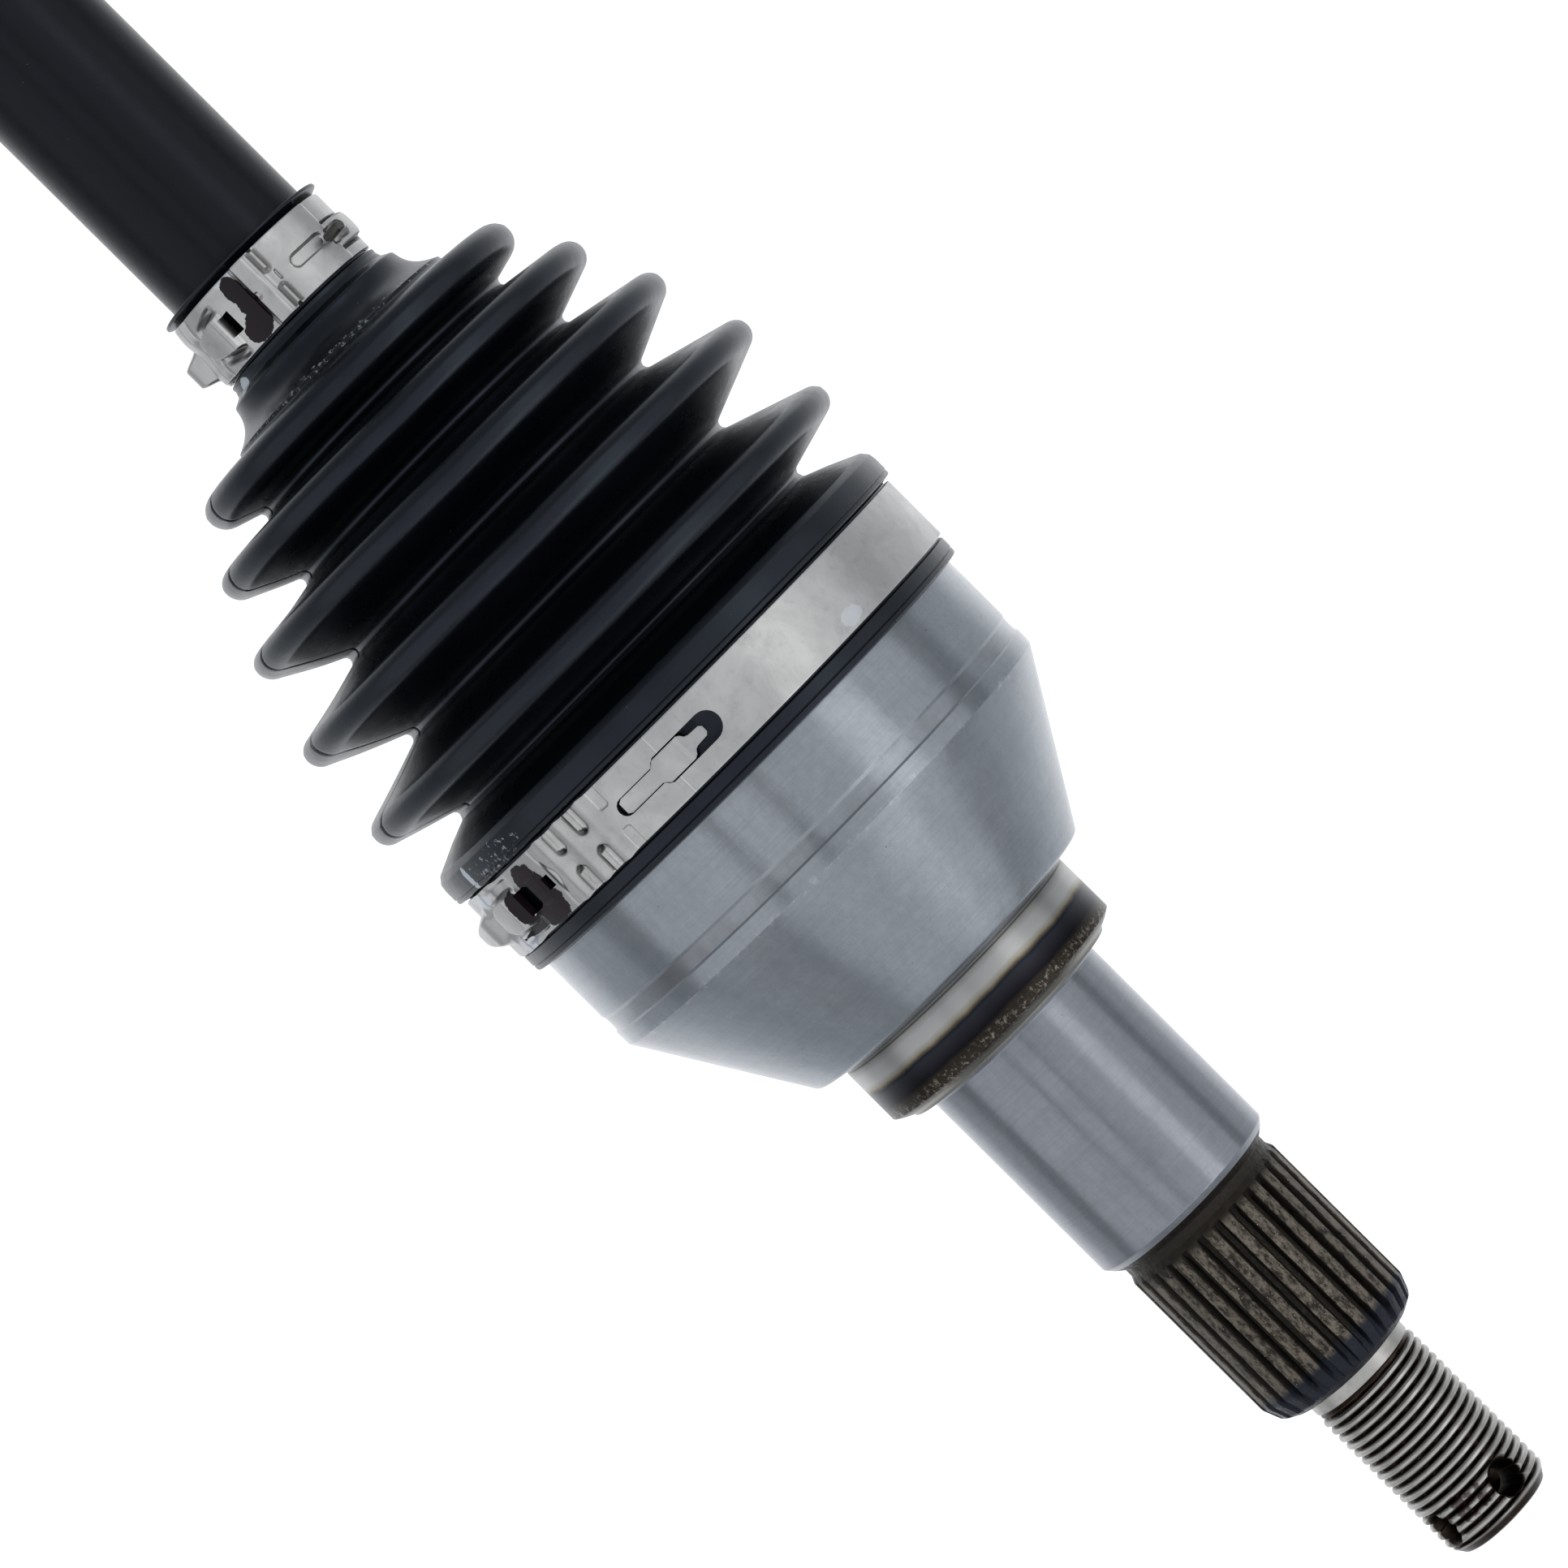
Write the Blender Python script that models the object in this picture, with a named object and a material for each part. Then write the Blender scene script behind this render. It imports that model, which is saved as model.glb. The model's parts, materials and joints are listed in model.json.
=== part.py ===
"""CV axle: a drive half-shaft with a fixed ball joint at its wheel end and a plunging ball joint
at its gearbox end.

The axle lies along X. The origin is on the bar's axis, midway between the two joint centres. The
wheel end points to +X. Each joint's pieces are modelled about their own joint centre and placed by
an empty that stands there, so sizes below are in millimetres from a joint centre unless they say
otherwise.
"""
import math

import bmesh
import bpy

MM = 0.001

# Placement of the two joint centres
CENTRE_DISTANCE = 400.0
OUT_CENTRE = CENTRE_DISTANCE / 2
IN_CENTRE = -CENTRE_DISTANCE / 2
GAP = 0.3

# Ball joints
BALL_COUNT = 6
BALL_RADIUS = 7.95
PITCH_RADIUS = 25.5
TRACK_CLEARANCE = 1.3
RACE_RADIUS = 25.8
RACE_HALF_WIDTH = 12.0
CAGE_INNER = 26.5
CAGE_OUTER = 30.8
CAGE_HALF_WIDTH = 13.0
SOCKET_RADIUS = 31.6
SOCKET_FLOOR = 24.0
TRACK_REACH = 62
BENT_RACE_REACH = 40
STRAIGHT_RACE_REACH = 22

# Bar
BAR_RADIUS = 12.0
NECK_RADIUS = 11.4
BOOT_SEAT_RADIUS = 10.6
BAR_SPLINE_RADIUS = 11.7
BAR_GROOVE_RADIUS = 10.2
BAR_END = 15.5
BAR_GROOVE = (12.5, 13.9)
BAR_STOP_RADIUS = 12.7

# Wheel end
BELL_RADIUS = 39.3
BELL_TRACK_END = 42.0
BELL_SEAT_RADIUS = 38.0
BELL_MOUTH = -20.5
BELL_MOUTH_RADIUS = 34.6
CONE_START = 9.9
CONE_END = 32.5
CONE_END_RADIUS = 25.4
COLLAR_RADIUS = 21.0
COLLAR_START = 34.0
COLLAR_END = 43.2
SHOULDER = 44.9
SEAT_RADIUS = 15.34
SEAT_END = 78.7
SPLINE_START = 83.1
SPLINE_END = 108.0
SPLINE_RADIUS = 13.65
SPLINE_ROOT = 12.45
SPLINE_RUNOUT = 110.4
SPLINE_TEETH = 27
NECK_BEHIND_THREAD = 8.6
THREAD_RADIUS = 8.95
THREAD_START = 114.8
STUB_END = 142.0
COTTER_X = 137.8
COTTER_RADIUS = 2.25
COTTER_TURN = math.radians(-27.0)

# Gearbox end
CUP_RADIUS = 38.3
CUP_SEAT_RADIUS = 37.0
CUP_MOUTH = 37.0
CUP_BORE = 31.4
CUP_FLOOR = -37.0
CUP_BACK = -42.0
RING_X = 33.0
SEAL_RADIUS = 16.0
SEAL_START = -48.0
SEAL_END = -62.0
STUB_SPLINE_RADIUS = 13.6
STUB_SPLINE_ROOT = 12.4
STUB_SPLINE_END = -94.0
STUB_SPLINE_TEETH = 24
STUB_TIP = -97.0
CLIP_X = -88.0

# Boots: wall, and each end's cuff
BOOT_WALL = 1.8
CREST_HALF = 1.4
BAND_WIDTH = 10.4
LARGE_BAND = 41.5
SMALL_BAND = 13.8
BAND_THICKNESS = 0.8
LARGE_BUMP = 2.0
SMALL_BUMP = 2.6
OUT_LARGE_BAND_X = -14.8
OUT_SMALL_BAND_X = -98.5
IN_LARGE_BAND = LARGE_BAND - 1.0
IN_LARGE_BAND_X = 28.0
IN_SMALL_BAND_X = 125.5

# Spring clips: outer radius, width along the axle and gap in degrees
RACE_CLIP = (13.6, 0.8, 30)
CUP_RING = (CUP_BORE + 0.7, 2.0, 12)
CUP_RING_INNER = 30.0
STUB_CLIP = (14.4, 1.3, 40)

ROUND_STEPS = 24
BAR_STEPS = 16


def clear_scene():
    """Start from an empty scene."""
    for thing in list(bpy.data.objects):
        bpy.data.objects.remove(thing, do_unlink=True)


def make_material(name, colour, roughness, metallic):
    """A plain finish."""
    material = bpy.data.materials.new(name)
    material.use_nodes = True
    shader = material.node_tree.nodes["Principled BSDF"]
    shader.inputs["Base Color"].default_value = (*colour, 1.0)
    shader.inputs["Roughness"].default_value = roughness
    shader.inputs["Metallic"].default_value = metallic
    return material


def make_object(name, builder, parent=None, finish=None):
    """One object from a bmesh, with smooth round faces and crisp edges."""
    bmesh.ops.remove_doubles(builder, verts=builder.verts, dist=1e-7)
    bmesh.ops.recalc_face_normals(builder, faces=builder.faces)
    mesh = bpy.data.meshes.new(name)
    builder.to_mesh(mesh)
    builder.free()
    mesh.shade_smooth()
    mesh.set_sharp_from_angle(angle=math.radians(35))
    thing = bpy.data.objects.new(name, mesh)
    bpy.context.collection.objects.link(thing)
    if parent:
        thing.parent = parent
    if finish:
        mesh.materials.append(make_material(name, *finish))
    return thing


def make_centre(name, x):
    """An empty at a joint centre."""
    empty = bpy.data.objects.new(name, None)
    empty.location = (x * MM, 0, 0)
    bpy.context.collection.objects.link(empty)
    return empty


def ring_points(builder, x, radius, steps, turn=0.0):
    """A circle of vertices about the X axis, or one vertex where the radius is nothing."""
    if radius < 1e-6:
        return [builder.verts.new((x * MM, 0, 0))]
    points = []
    for k in range(steps):
        angle = turn + 2 * math.pi * k / steps
        place = (x * MM, radius * math.cos(angle) * MM, radius * math.sin(angle) * MM)
        points.append(builder.verts.new(place))
    return points


def bridge(builder, first, second):
    """Faces between two neighbouring rings."""
    count = max(len(first), len(second))
    for k in range(count):
        after = (k + 1) % count
        if len(first) == 1:
            builder.faces.new((first[0], second[k], second[after]))
        elif len(second) == 1:
            builder.faces.new((first[k], first[after], second[0]))
        else:
            builder.faces.new((first[k], first[after], second[after], second[k]))


def turned(outline, closed=False, steps=ROUND_STEPS):
    """A body of revolution about X. A closed outline makes a ring, an open one ends on the axis."""
    builder = bmesh.new()
    rings = [ring_points(builder, x, radius, steps) for x, radius in outline]
    for k in range(len(rings) - 1):
        bridge(builder, rings[k], rings[k + 1])
    if closed:
        bridge(builder, rings[-1], rings[0])
    return builder


def arc(centre_x, radius, start, end, count):
    """Outline points on a circle about (centre_x, 0); angles from +X in degrees."""
    points = []
    for k in range(count + 1):
        angle = math.radians(start + (end - start) * k / count)
        points.append((centre_x + radius * math.cos(angle), radius * math.sin(angle)))
    return points


def cut(target, cutter):
    """Take the cutter out of the target."""
    cutter.hide_render = True
    cutter.display_type = "WIRE"
    modifier = target.modifiers.new("cut_" + cutter.name, "BOOLEAN")
    modifier.operation = "DIFFERENCE"
    modifier.solver = "EXACT"
    modifier.object = cutter


def tube(builder, path, radius, sides):
    """A closed round tube of the given radius along points that lie in one plane through X."""
    rings = []
    for k, (x, y, z) in enumerate(path):
        before = path[max(k - 1, 0)]
        after = path[min(k + 1, len(path) - 1)]
        direction = [after[n] - before[n] for n in range(3)]
        length = math.sqrt(sum(part * part for part in direction))
        direction = [part / length for part in direction]
        outward = (0.0, y, z)
        size = math.hypot(y, z)
        side = (0.0, -outward[2] / size, outward[1] / size)
        up = (
            side[1] * direction[2] - side[2] * direction[1],
            side[2] * direction[0] - side[0] * direction[2],
            side[0] * direction[1] - side[1] * direction[0],
        )
        ring = []
        for m in range(sides):
            angle = 2 * math.pi * (m + 0.5) / sides
            place = []
            for n, base in enumerate((x, y, z)):
                offset = radius * (side[n] * math.cos(angle) + up[n] * math.sin(angle))
                place.append((base + offset) * MM)
            ring.append(builder.verts.new(place))
        rings.append(ring)
    for k in range(len(rings) - 1):
        bridge(builder, rings[k], rings[k + 1])
    builder.faces.new(rings[0])
    builder.faces.new(rings[-1])


def ball_angle(index):
    """Where ball number index stands around the axis."""
    return 2 * math.pi * (index + 0.5) / BALL_COUNT


def track_cutter(name, parent, radius, bent, start, end, steps):
    """Six round grooves. Bent grooves follow a circle about the centre, from start to end in
    degrees from the middle plane; straight ones run from start to end along X."""
    builder = bmesh.new()
    for index in range(BALL_COUNT):
        turn = ball_angle(index)
        path = []
        for k in range(steps + 1):
            station = start + (end - start) * k / steps
            if bent:
                x = PITCH_RADIUS * math.sin(math.radians(station))
                height = PITCH_RADIUS * math.cos(math.radians(station))
            else:
                x = station
                height = PITCH_RADIUS
            path.append((x, height * math.cos(turn), height * math.sin(turn)))
        tube(builder, path, radius, 12)
    return make_object(name, builder, parent)


def spline_cutter(name, parent, start, end, root, tip, teeth):
    """The gaps between spline teeth, from start to end along X."""
    builder = bmesh.new()
    half_root = 0.20 * 2 * math.pi / teeth
    half_tip = 0.27 * 2 * math.pi / teeth
    for index in range(teeth):
        turn = 2 * math.pi * (index + 0.5) / teeth
        corners = []
        for x in (start, end):
            section = []
            for half, radius in ((-half_tip, tip), (-half_root, root), (half_root, root), (half_tip, tip)):
                angle = turn + half
                place = (x * MM, radius * math.cos(angle) * MM, radius * math.sin(angle) * MM)
                section.append(builder.verts.new(place))
            corners.append(section)
        bridge(builder, corners[0], corners[1])
        builder.faces.new(corners[0])
        builder.faces.new(corners[1])
    return make_object(name, builder, parent)


def band_clamp(name, parent, centre_x, outer, bump_height, finish):
    """A one-piece ear clamp: a thin band with its raised ear."""
    builder = bmesh.new()
    steps = 32
    inner = outer - BAND_THICKNESS
    half = BAND_WIDTH / 2
    edge = 2.6
    ear_from = 5
    ear_to = 7
    rings = []
    stations = ((-half, False), (-edge, False), (-edge, True), (edge, True), (edge, False), (half, False))
    for x, is_middle in stations:
        ring = []
        for k in range(steps):
            angle = -2 * math.pi * k / steps
            raised = is_middle and ear_from <= k <= ear_to
            radius = outer + (bump_height if raised else 0.0)
            ring.append(band_point(builder, centre_x + x, radius, angle))
        rings.append(ring)
    for x in (half, -half):
        ring = []
        for k in range(steps):
            angle = -2 * math.pi * k / steps
            ring.append(band_point(builder, centre_x + x, inner, angle))
        rings.append(ring)
    for k in range(len(rings)):
        first = rings[k]
        second = rings[(k + 1) % len(rings)]
        for m in range(steps):
            after = (m + 1) % steps
            builder.faces.new((first[m], first[after], second[after], second[m]))
    bmesh.ops.remove_doubles(builder, verts=builder.verts, dist=1e-7)
    bmesh.ops.dissolve_degenerate(builder, dist=1e-8, edges=builder.edges)
    return make_object(name, builder, parent, finish)


def band_point(builder, x, radius, angle):
    """A vertex of a band; angles run from +Z towards -Y."""
    return builder.verts.new((x * MM, radius * math.sin(angle) * MM, radius * math.cos(angle) * MM))


def open_ring(name, parent, x, inner, size, finish):
    """A split ring of square section. size is (outer radius, width, gap in degrees)."""
    builder = bmesh.new()
    steps = 14
    outer, width, gap_degrees = size
    half_gap = math.radians(gap_degrees) / 2
    sections = []
    square = ((-width / 2, inner), (-width / 2, outer), (width / 2, outer), (width / 2, inner))
    for k in range(steps + 1):
        angle = half_gap + (2 * math.pi - 2 * half_gap) * k / steps
        section = []
        for side, radius in square:
            section.append(band_point(builder, x + side, radius, angle))
        sections.append(section)
    for k in range(steps):
        bridge(builder, sections[k], sections[k + 1])
    builder.faces.new(sections[0])
    builder.faces.new(sections[-1])
    return make_object(name, builder, parent, finish)


def make_race(name, parent, bent, finish):
    """Inner race: a ball-shaped ring with six outside grooves, bored for the bar."""
    half_angle = math.degrees(math.asin(RACE_HALF_WIDTH / RACE_RADIUS))
    outline = arc(0, RACE_RADIUS, 90 + half_angle, 90 - half_angle, 4)
    bore = BAR_SPLINE_RADIUS + GAP
    outline += [(RACE_HALF_WIDTH, bore), (-RACE_HALF_WIDTH, bore)]
    race = make_object(name, turned(outline, closed=True), parent, finish)
    reach = BENT_RACE_REACH if bent else STRAIGHT_RACE_REACH
    cutter = track_cutter(name + "_tracks", parent, BALL_RADIUS + TRACK_CLEARANCE, bent, -reach, reach, 6)
    cut(race, cutter)
    return race


def make_cage(name, parent, finish):
    """Ball cage: a ring between two spheres with six windows."""
    outer_angle = math.degrees(math.asin(CAGE_HALF_WIDTH / CAGE_OUTER))
    inner_angle = math.degrees(math.asin(CAGE_HALF_WIDTH / CAGE_INNER))
    outline = arc(0, CAGE_OUTER, 90 + outer_angle, 90 - outer_angle, 2)
    outline += arc(0, CAGE_INNER, 90 - inner_angle, 90 + inner_angle, 4)
    cage = make_object(name, turned(outline, closed=True), parent, finish)
    builder = bmesh.new()
    half_long = BALL_RADIUS + GAP
    half_wide = BALL_RADIUS + 1.2
    window = [(half_long * a, half_wide * b) for a, b in ((-1, -1), (1, -1), (1, 1), (-1, 1))]
    for index in range(BALL_COUNT):
        turn = ball_angle(index)
        corners = []
        for height in (CAGE_INNER - 8, CAGE_OUTER + 4):
            section = []
            for x, side in window:
                y = height * math.cos(turn) - side * math.sin(turn)
                z = height * math.sin(turn) + side * math.cos(turn)
                section.append(builder.verts.new((x * MM, y * MM, z * MM)))
            corners.append(section)
        bridge(builder, corners[0], corners[1])
        builder.faces.new(corners[0])
        builder.faces.new(corners[1])
    cut(cage, make_object(name + "_windows", builder, parent))
    return cage


def make_balls(prefix, parent, finish):
    """Six balls, each its own object."""
    for index in range(BALL_COUNT):
        builder = bmesh.new()
        bmesh.ops.create_uvsphere(builder, u_segments=10, v_segments=6, radius=BALL_RADIUS * MM)
        ball = make_object(f"{prefix}_ball_{index + 1}", builder, parent, finish)
        turn = ball_angle(index)
        ball.location = (0, PITCH_RADIUS * math.cos(turn) * MM, PITCH_RADIUS * math.sin(turn) * MM)


def make_wheel_housing(parent, finish):
    """Bell, cone, shoulder, seat, splined stub and threaded end in one forging."""
    outline = [
        (BELL_MOUTH, BELL_MOUTH_RADIUS),
        (BELL_MOUTH, BELL_SEAT_RADIUS - 0.4),
        (BELL_MOUTH + 0.6, BELL_SEAT_RADIUS),
        (-9.8, BELL_SEAT_RADIUS),
        (-9.3, BELL_RADIUS),
        (4.7, BELL_RADIUS),
        (5.0, BELL_RADIUS - 0.3),
        (6.7, BELL_RADIUS - 0.3),
        (7.0, BELL_RADIUS),
        (CONE_START, BELL_RADIUS),
        (CONE_END, CONE_END_RADIUS),
        (COLLAR_START - 0.5, COLLAR_RADIUS + 0.3),
        (COLLAR_START, COLLAR_RADIUS),
        (COLLAR_END, COLLAR_RADIUS),
        (SHOULDER - 0.4, 18.5),
        (SHOULDER, 18.4),
        (SHOULDER, SEAT_RADIUS),
        (SEAT_END, SEAT_RADIUS),
        (SEAT_END + 1.2, 14.2),
        (SEAT_END + 2.8, 13.2),
        (SPLINE_START, SPLINE_RADIUS),
        (SPLINE_END, SPLINE_RADIUS),
        (111.9, 11.2),
        (112.4, NECK_BEHIND_THREAD),
        (THREAD_START - 0.6, NECK_BEHIND_THREAD),
        (THREAD_START, THREAD_RADIUS),
        (STUB_END - 1.4, THREAD_RADIUS),
        (STUB_END, THREAD_RADIUS - 1.4),
        (STUB_END, 0),
    ]
    end_angle = math.degrees(math.acos(SOCKET_FLOOR / SOCKET_RADIUS))
    chamfer_angle = 90 + math.degrees(math.asin(13.5 / SOCKET_RADIUS))
    socket = [(SOCKET_FLOOR, 0)] + arc(0, SOCKET_RADIUS, end_angle, chamfer_angle, 10)
    housing = make_object("outboard_housing", turned(socket + outline), parent, finish)
    groove = BALL_RADIUS + TRACK_CLEARANCE
    cutter = track_cutter("bell_tracks", parent, groove, True, -TRACK_REACH, BELL_TRACK_END, 9)
    cut(housing, cutter)
    start = SPLINE_START - 0.8
    tip = SPLINE_RADIUS + 0.8
    gaps = spline_cutter("stub_spline_gaps", parent, start, SPLINE_RUNOUT, SPLINE_ROOT, tip, SPLINE_TEETH)
    cut(housing, gaps)
    for index in range(2):
        turn = COTTER_TURN + index * math.pi / 2
        builder = bmesh.new()
        bmesh.ops.create_cone(
            builder, cap_ends=True, segments=12, radius1=COTTER_RADIUS * MM,
            radius2=COTTER_RADIUS * MM, depth=3 * THREAD_RADIUS * MM,
        )
        pin_hole = make_object(f"cotter_hole_{index + 1}", builder, parent)
        pin_hole.location = (COTTER_X * MM, 0, 0)
        pin_hole.rotation_euler = (turn, 0, 0)
        cut(housing, pin_hole)


def make_gearbox_housing(parent, finish):
    """Cup, seal journal and splined stub in one forging."""
    outline = [
        (CUP_FLOOR, 0),
        (CUP_FLOOR, 22.0),
        (CUP_FLOOR + 6, CUP_BORE),
        (RING_X - 1.4, CUP_BORE),
        (RING_X - 1.4, CUP_BORE + 1.0),
        (RING_X + 1.4, CUP_BORE + 1.0),
        (RING_X + 1.4, CUP_BORE),
        (CUP_MOUTH - 1.2, CUP_BORE),
        (CUP_MOUTH, CUP_BORE + 1.2),
        (CUP_MOUTH, CUP_SEAT_RADIUS),
        (22.4, CUP_SEAT_RADIUS),
        (21.8, CUP_RADIUS),
        (-30.0, CUP_RADIUS),
        (CUP_BACK, 30.0),
        (CUP_BACK - 3, 21.0),
        (SEAL_START, 21.0),
        (SEAL_START, SEAL_RADIUS),
        (SEAL_END, SEAL_RADIUS),
        (SEAL_END - 1.5, STUB_SPLINE_RADIUS),
        (CLIP_X + 1.0, STUB_SPLINE_RADIUS),
        (CLIP_X + 1.0, STUB_SPLINE_ROOT - 1.4),
        (CLIP_X - 1.0, STUB_SPLINE_ROOT - 1.4),
        (CLIP_X - 1.0, STUB_SPLINE_RADIUS),
        (STUB_SPLINE_END, STUB_SPLINE_RADIUS),
        (STUB_TIP, 11.0),
        (STUB_TIP, 0),
    ]
    outline.reverse()
    housing = make_object("inboard_housing", turned(outline), parent, finish)
    groove_radius = BALL_RADIUS + TRACK_CLEARANCE
    grooves = track_cutter("cup_tracks", parent, groove_radius, False, CUP_FLOOR + 2, CUP_MOUTH + 4, 1)
    cut(housing, grooves)
    start = STUB_TIP - 1
    end = SEAL_END - 6
    tip = STUB_SPLINE_RADIUS + 0.8
    gaps = spline_cutter("gearbox_spline_gaps", parent, start, end, STUB_SPLINE_ROOT, tip, STUB_SPLINE_TEETH)
    cut(housing, gaps)


def make_bar(finish):
    """The bar: splined ends with stop rings and clip grooves, necks, and a seat for each boot."""
    end = OUT_CENTRE + BAR_END
    groove_start = OUT_CENTRE + BAR_GROOVE[0]
    groove_end = OUT_CENTRE + BAR_GROOVE[1]
    stop = OUT_CENTRE - RACE_HALF_WIDTH - GAP
    half = [
        (end, 0),
        (end, BAR_SPLINE_RADIUS - 1.2),
        (end - 1.0, BAR_SPLINE_RADIUS),
        (groove_end, BAR_SPLINE_RADIUS),
        (groove_end, BAR_GROOVE_RADIUS),
        (groove_start, BAR_GROOVE_RADIUS),
        (groove_start, BAR_SPLINE_RADIUS),
        (stop, BAR_SPLINE_RADIUS),
        (stop, BAR_STOP_RADIUS),
        (stop - 3, BAR_STOP_RADIUS),
        (stop - 6, NECK_RADIUS),
    ]
    outboard = half + boot_seat(OUT_CENTRE + OUT_SMALL_BAND_X, -1)
    inboard = [(-x, radius) for x, radius in half] + boot_seat(IN_CENTRE + IN_SMALL_BAND_X, 1)
    inboard.reverse()
    return make_object("shaft_bar", turned(outboard + inboard, steps=BAR_STEPS), None, finish)


def boot_seat(middle, side):
    """Outline of the reduced seat under a small cuff; side is the way from the joint."""
    half = 6.3
    return [
        (middle - side * (half + 8), NECK_RADIUS),
        (middle - side * (half + 6), BAR_RADIUS),
        (middle - side * half, BAR_RADIUS),
        (middle - side * half, BOOT_SEAT_RADIUS),
        (middle + side * half, BOOT_SEAT_RADIUS),
        (middle + side * half, BAR_RADIUS),
    ]


def outer_folds(folds):
    """Outer line of a convoluted wall. folds are ("valley" or "crest", x, radius); a crest is
    rounded with two points."""
    side = 1 if folds[-1][1] > folds[0][1] else -1
    line = []
    for kind, x, radius in folds:
        if kind == "crest":
            line.append((x - side * CREST_HALF, radius - 0.1))
            line.append((x + side * CREST_HALF, radius - 0.1))
        else:
            line.append((x, radius))
    return line


def inner_folds(folds):
    """Inner line of the same wall, run back the other way."""
    line = []
    for kind, x, radius in reversed(folds):
        extra = 0.5 if kind == "crest" else 0.0
        line.append((x, radius - BOOT_WALL - extra))
    return line


def small_cuff(middle, side):
    """Outline round the cuff that grips the bar, from the flare outside it to the flare inside.
    side is the way from the joint to the bar's middle."""
    under = SMALL_BAND - BAND_THICKNESS - GAP
    bore = BOOT_SEAT_RADIUS + GAP
    steps = [
        (-6.8, 15.1), (-5.7, 13.7), (-5.6, under), (5.6, under), (6.8, 14.7), (7.5, 14.0),
        (6.1, BAR_RADIUS + 0.7), (6.0, bore), (-5.8, bore), (-5.9, BAR_RADIUS + 0.7),
    ]
    return [(middle + side * x, radius) for x, radius in steps]


def large_cuff(seat_radius, land_radius, band_radius, edge, inner_end, side):
    """Outline round the cuff that grips a housing, from the wall's inside to its outside. edge is
    the cuff's outer end; side is the way from there to the folds."""
    under = band_radius - BAND_THICKNESS - GAP
    length = abs(inner_end - edge)
    seat = seat_radius + GAP
    land = land_radius + GAP
    steps = [
        (length, seat), (3.0, seat), (2.4, land), (0, land),
        (0, band_radius - 0.7), (2.3, band_radius - 0.7), (2.3, under), (13.7, under),
        (13.7, band_radius + 0.6), (length + 3, band_radius + 0.6),
    ]
    return [(edge + side * x, radius) for x, radius in steps]


def make_boot_part(name, outline, parent, finish):
    """One part of a boot."""
    return make_object(name, turned(outline, closed=True), parent, finish)


def make_outboard_boot(parent, finish):
    """Wide part and narrow part of the wheel-end boot, parted at the third valley."""
    wide = [
        ("valley", -29.4, 33.2), ("crest", -34.8, 43.9), ("valley", -41.7, 30.3), ("crest", -48.8, 42.8),
        ("valley", -54.9, 28.9),
    ]
    narrow = [
        ("valley", -55.2, 28.9), ("crest", -61.8, 39.0), ("valley", -67.2, 25.4), ("crest", -72.6, 34.3),
        ("valley", -77.1, 22.8), ("crest", -81.4, 28.8), ("valley", -85.6, 19.4),
    ]
    cuff = large_cuff(BELL_SEAT_RADIUS, BELL_RADIUS, LARGE_BAND, -6.8, -20.9, -1)
    outline = cuff + outer_folds(wide) + inner_folds(wide) + [(-23.6, 33.6)]
    make_boot_part("outboard_boot_wide", outline, parent, finish)
    outline = outer_folds(narrow) + small_cuff(OUT_SMALL_BAND_X, -1) + inner_folds(narrow)
    make_boot_part("outboard_boot_narrow", outline, parent, finish)


def make_inboard_boot(parent, finish):
    """Wide, middle and narrow parts of the gearbox-end boot."""
    wide = [
        ("valley", 43.0, 30.0), ("crest", 48.5, 39.0), ("valley", 54.0, 29.5), ("crest", 59.5, 38.0),
        ("valley", 65.0, 28.8), ("crest", 70.5, 36.5), ("valley", 75.85, 28.0),
    ]
    middle = [
        ("valley", 76.15, 28.0), ("crest", 81.0, 34.0), ("valley", 86.0, 25.5), ("crest", 91.0, 31.0),
        ("valley", 95.35, 22.4),
    ]
    narrow = [
        ("valley", 95.65, 22.4), ("crest", 100.0, 27.5), ("valley", 104.5, 19.4), ("crest", 108.5, 23.5),
        ("valley", 112.0, 16.8),
    ]
    cuff = large_cuff(CUP_SEAT_RADIUS, CUP_RADIUS, IN_LARGE_BAND, 20.0, 37.4, 1)
    outline = cuff + outer_folds(wide) + inner_folds(wide) + [(37.4, 33.0)]
    make_boot_part("inboard_boot_wide", outline, parent, finish)
    outline = outer_folds(middle) + inner_folds(middle)
    make_boot_part("inboard_boot_middle", outline, parent, finish)
    outline = outer_folds(narrow) + small_cuff(IN_SMALL_BAND_X, 1) + inner_folds(narrow)
    make_boot_part("inboard_boot_narrow", outline, parent, finish)


STEEL = ((0.31, 0.33, 0.36), 0.36, 1.0)
BALL_STEEL = ((0.62, 0.62, 0.63), 0.12, 1.0)
CLAMP_STEEL = ((0.42, 0.41, 0.41), 0.33, 1.0)
SPRING_STEEL = ((0.12, 0.12, 0.13), 0.4, 1.0)
BLACK_PAINT = ((0.012, 0.012, 0.014), 0.42, 0.0)
RUBBER = ((0.010, 0.010, 0.013), 0.48, 0.0)


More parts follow.
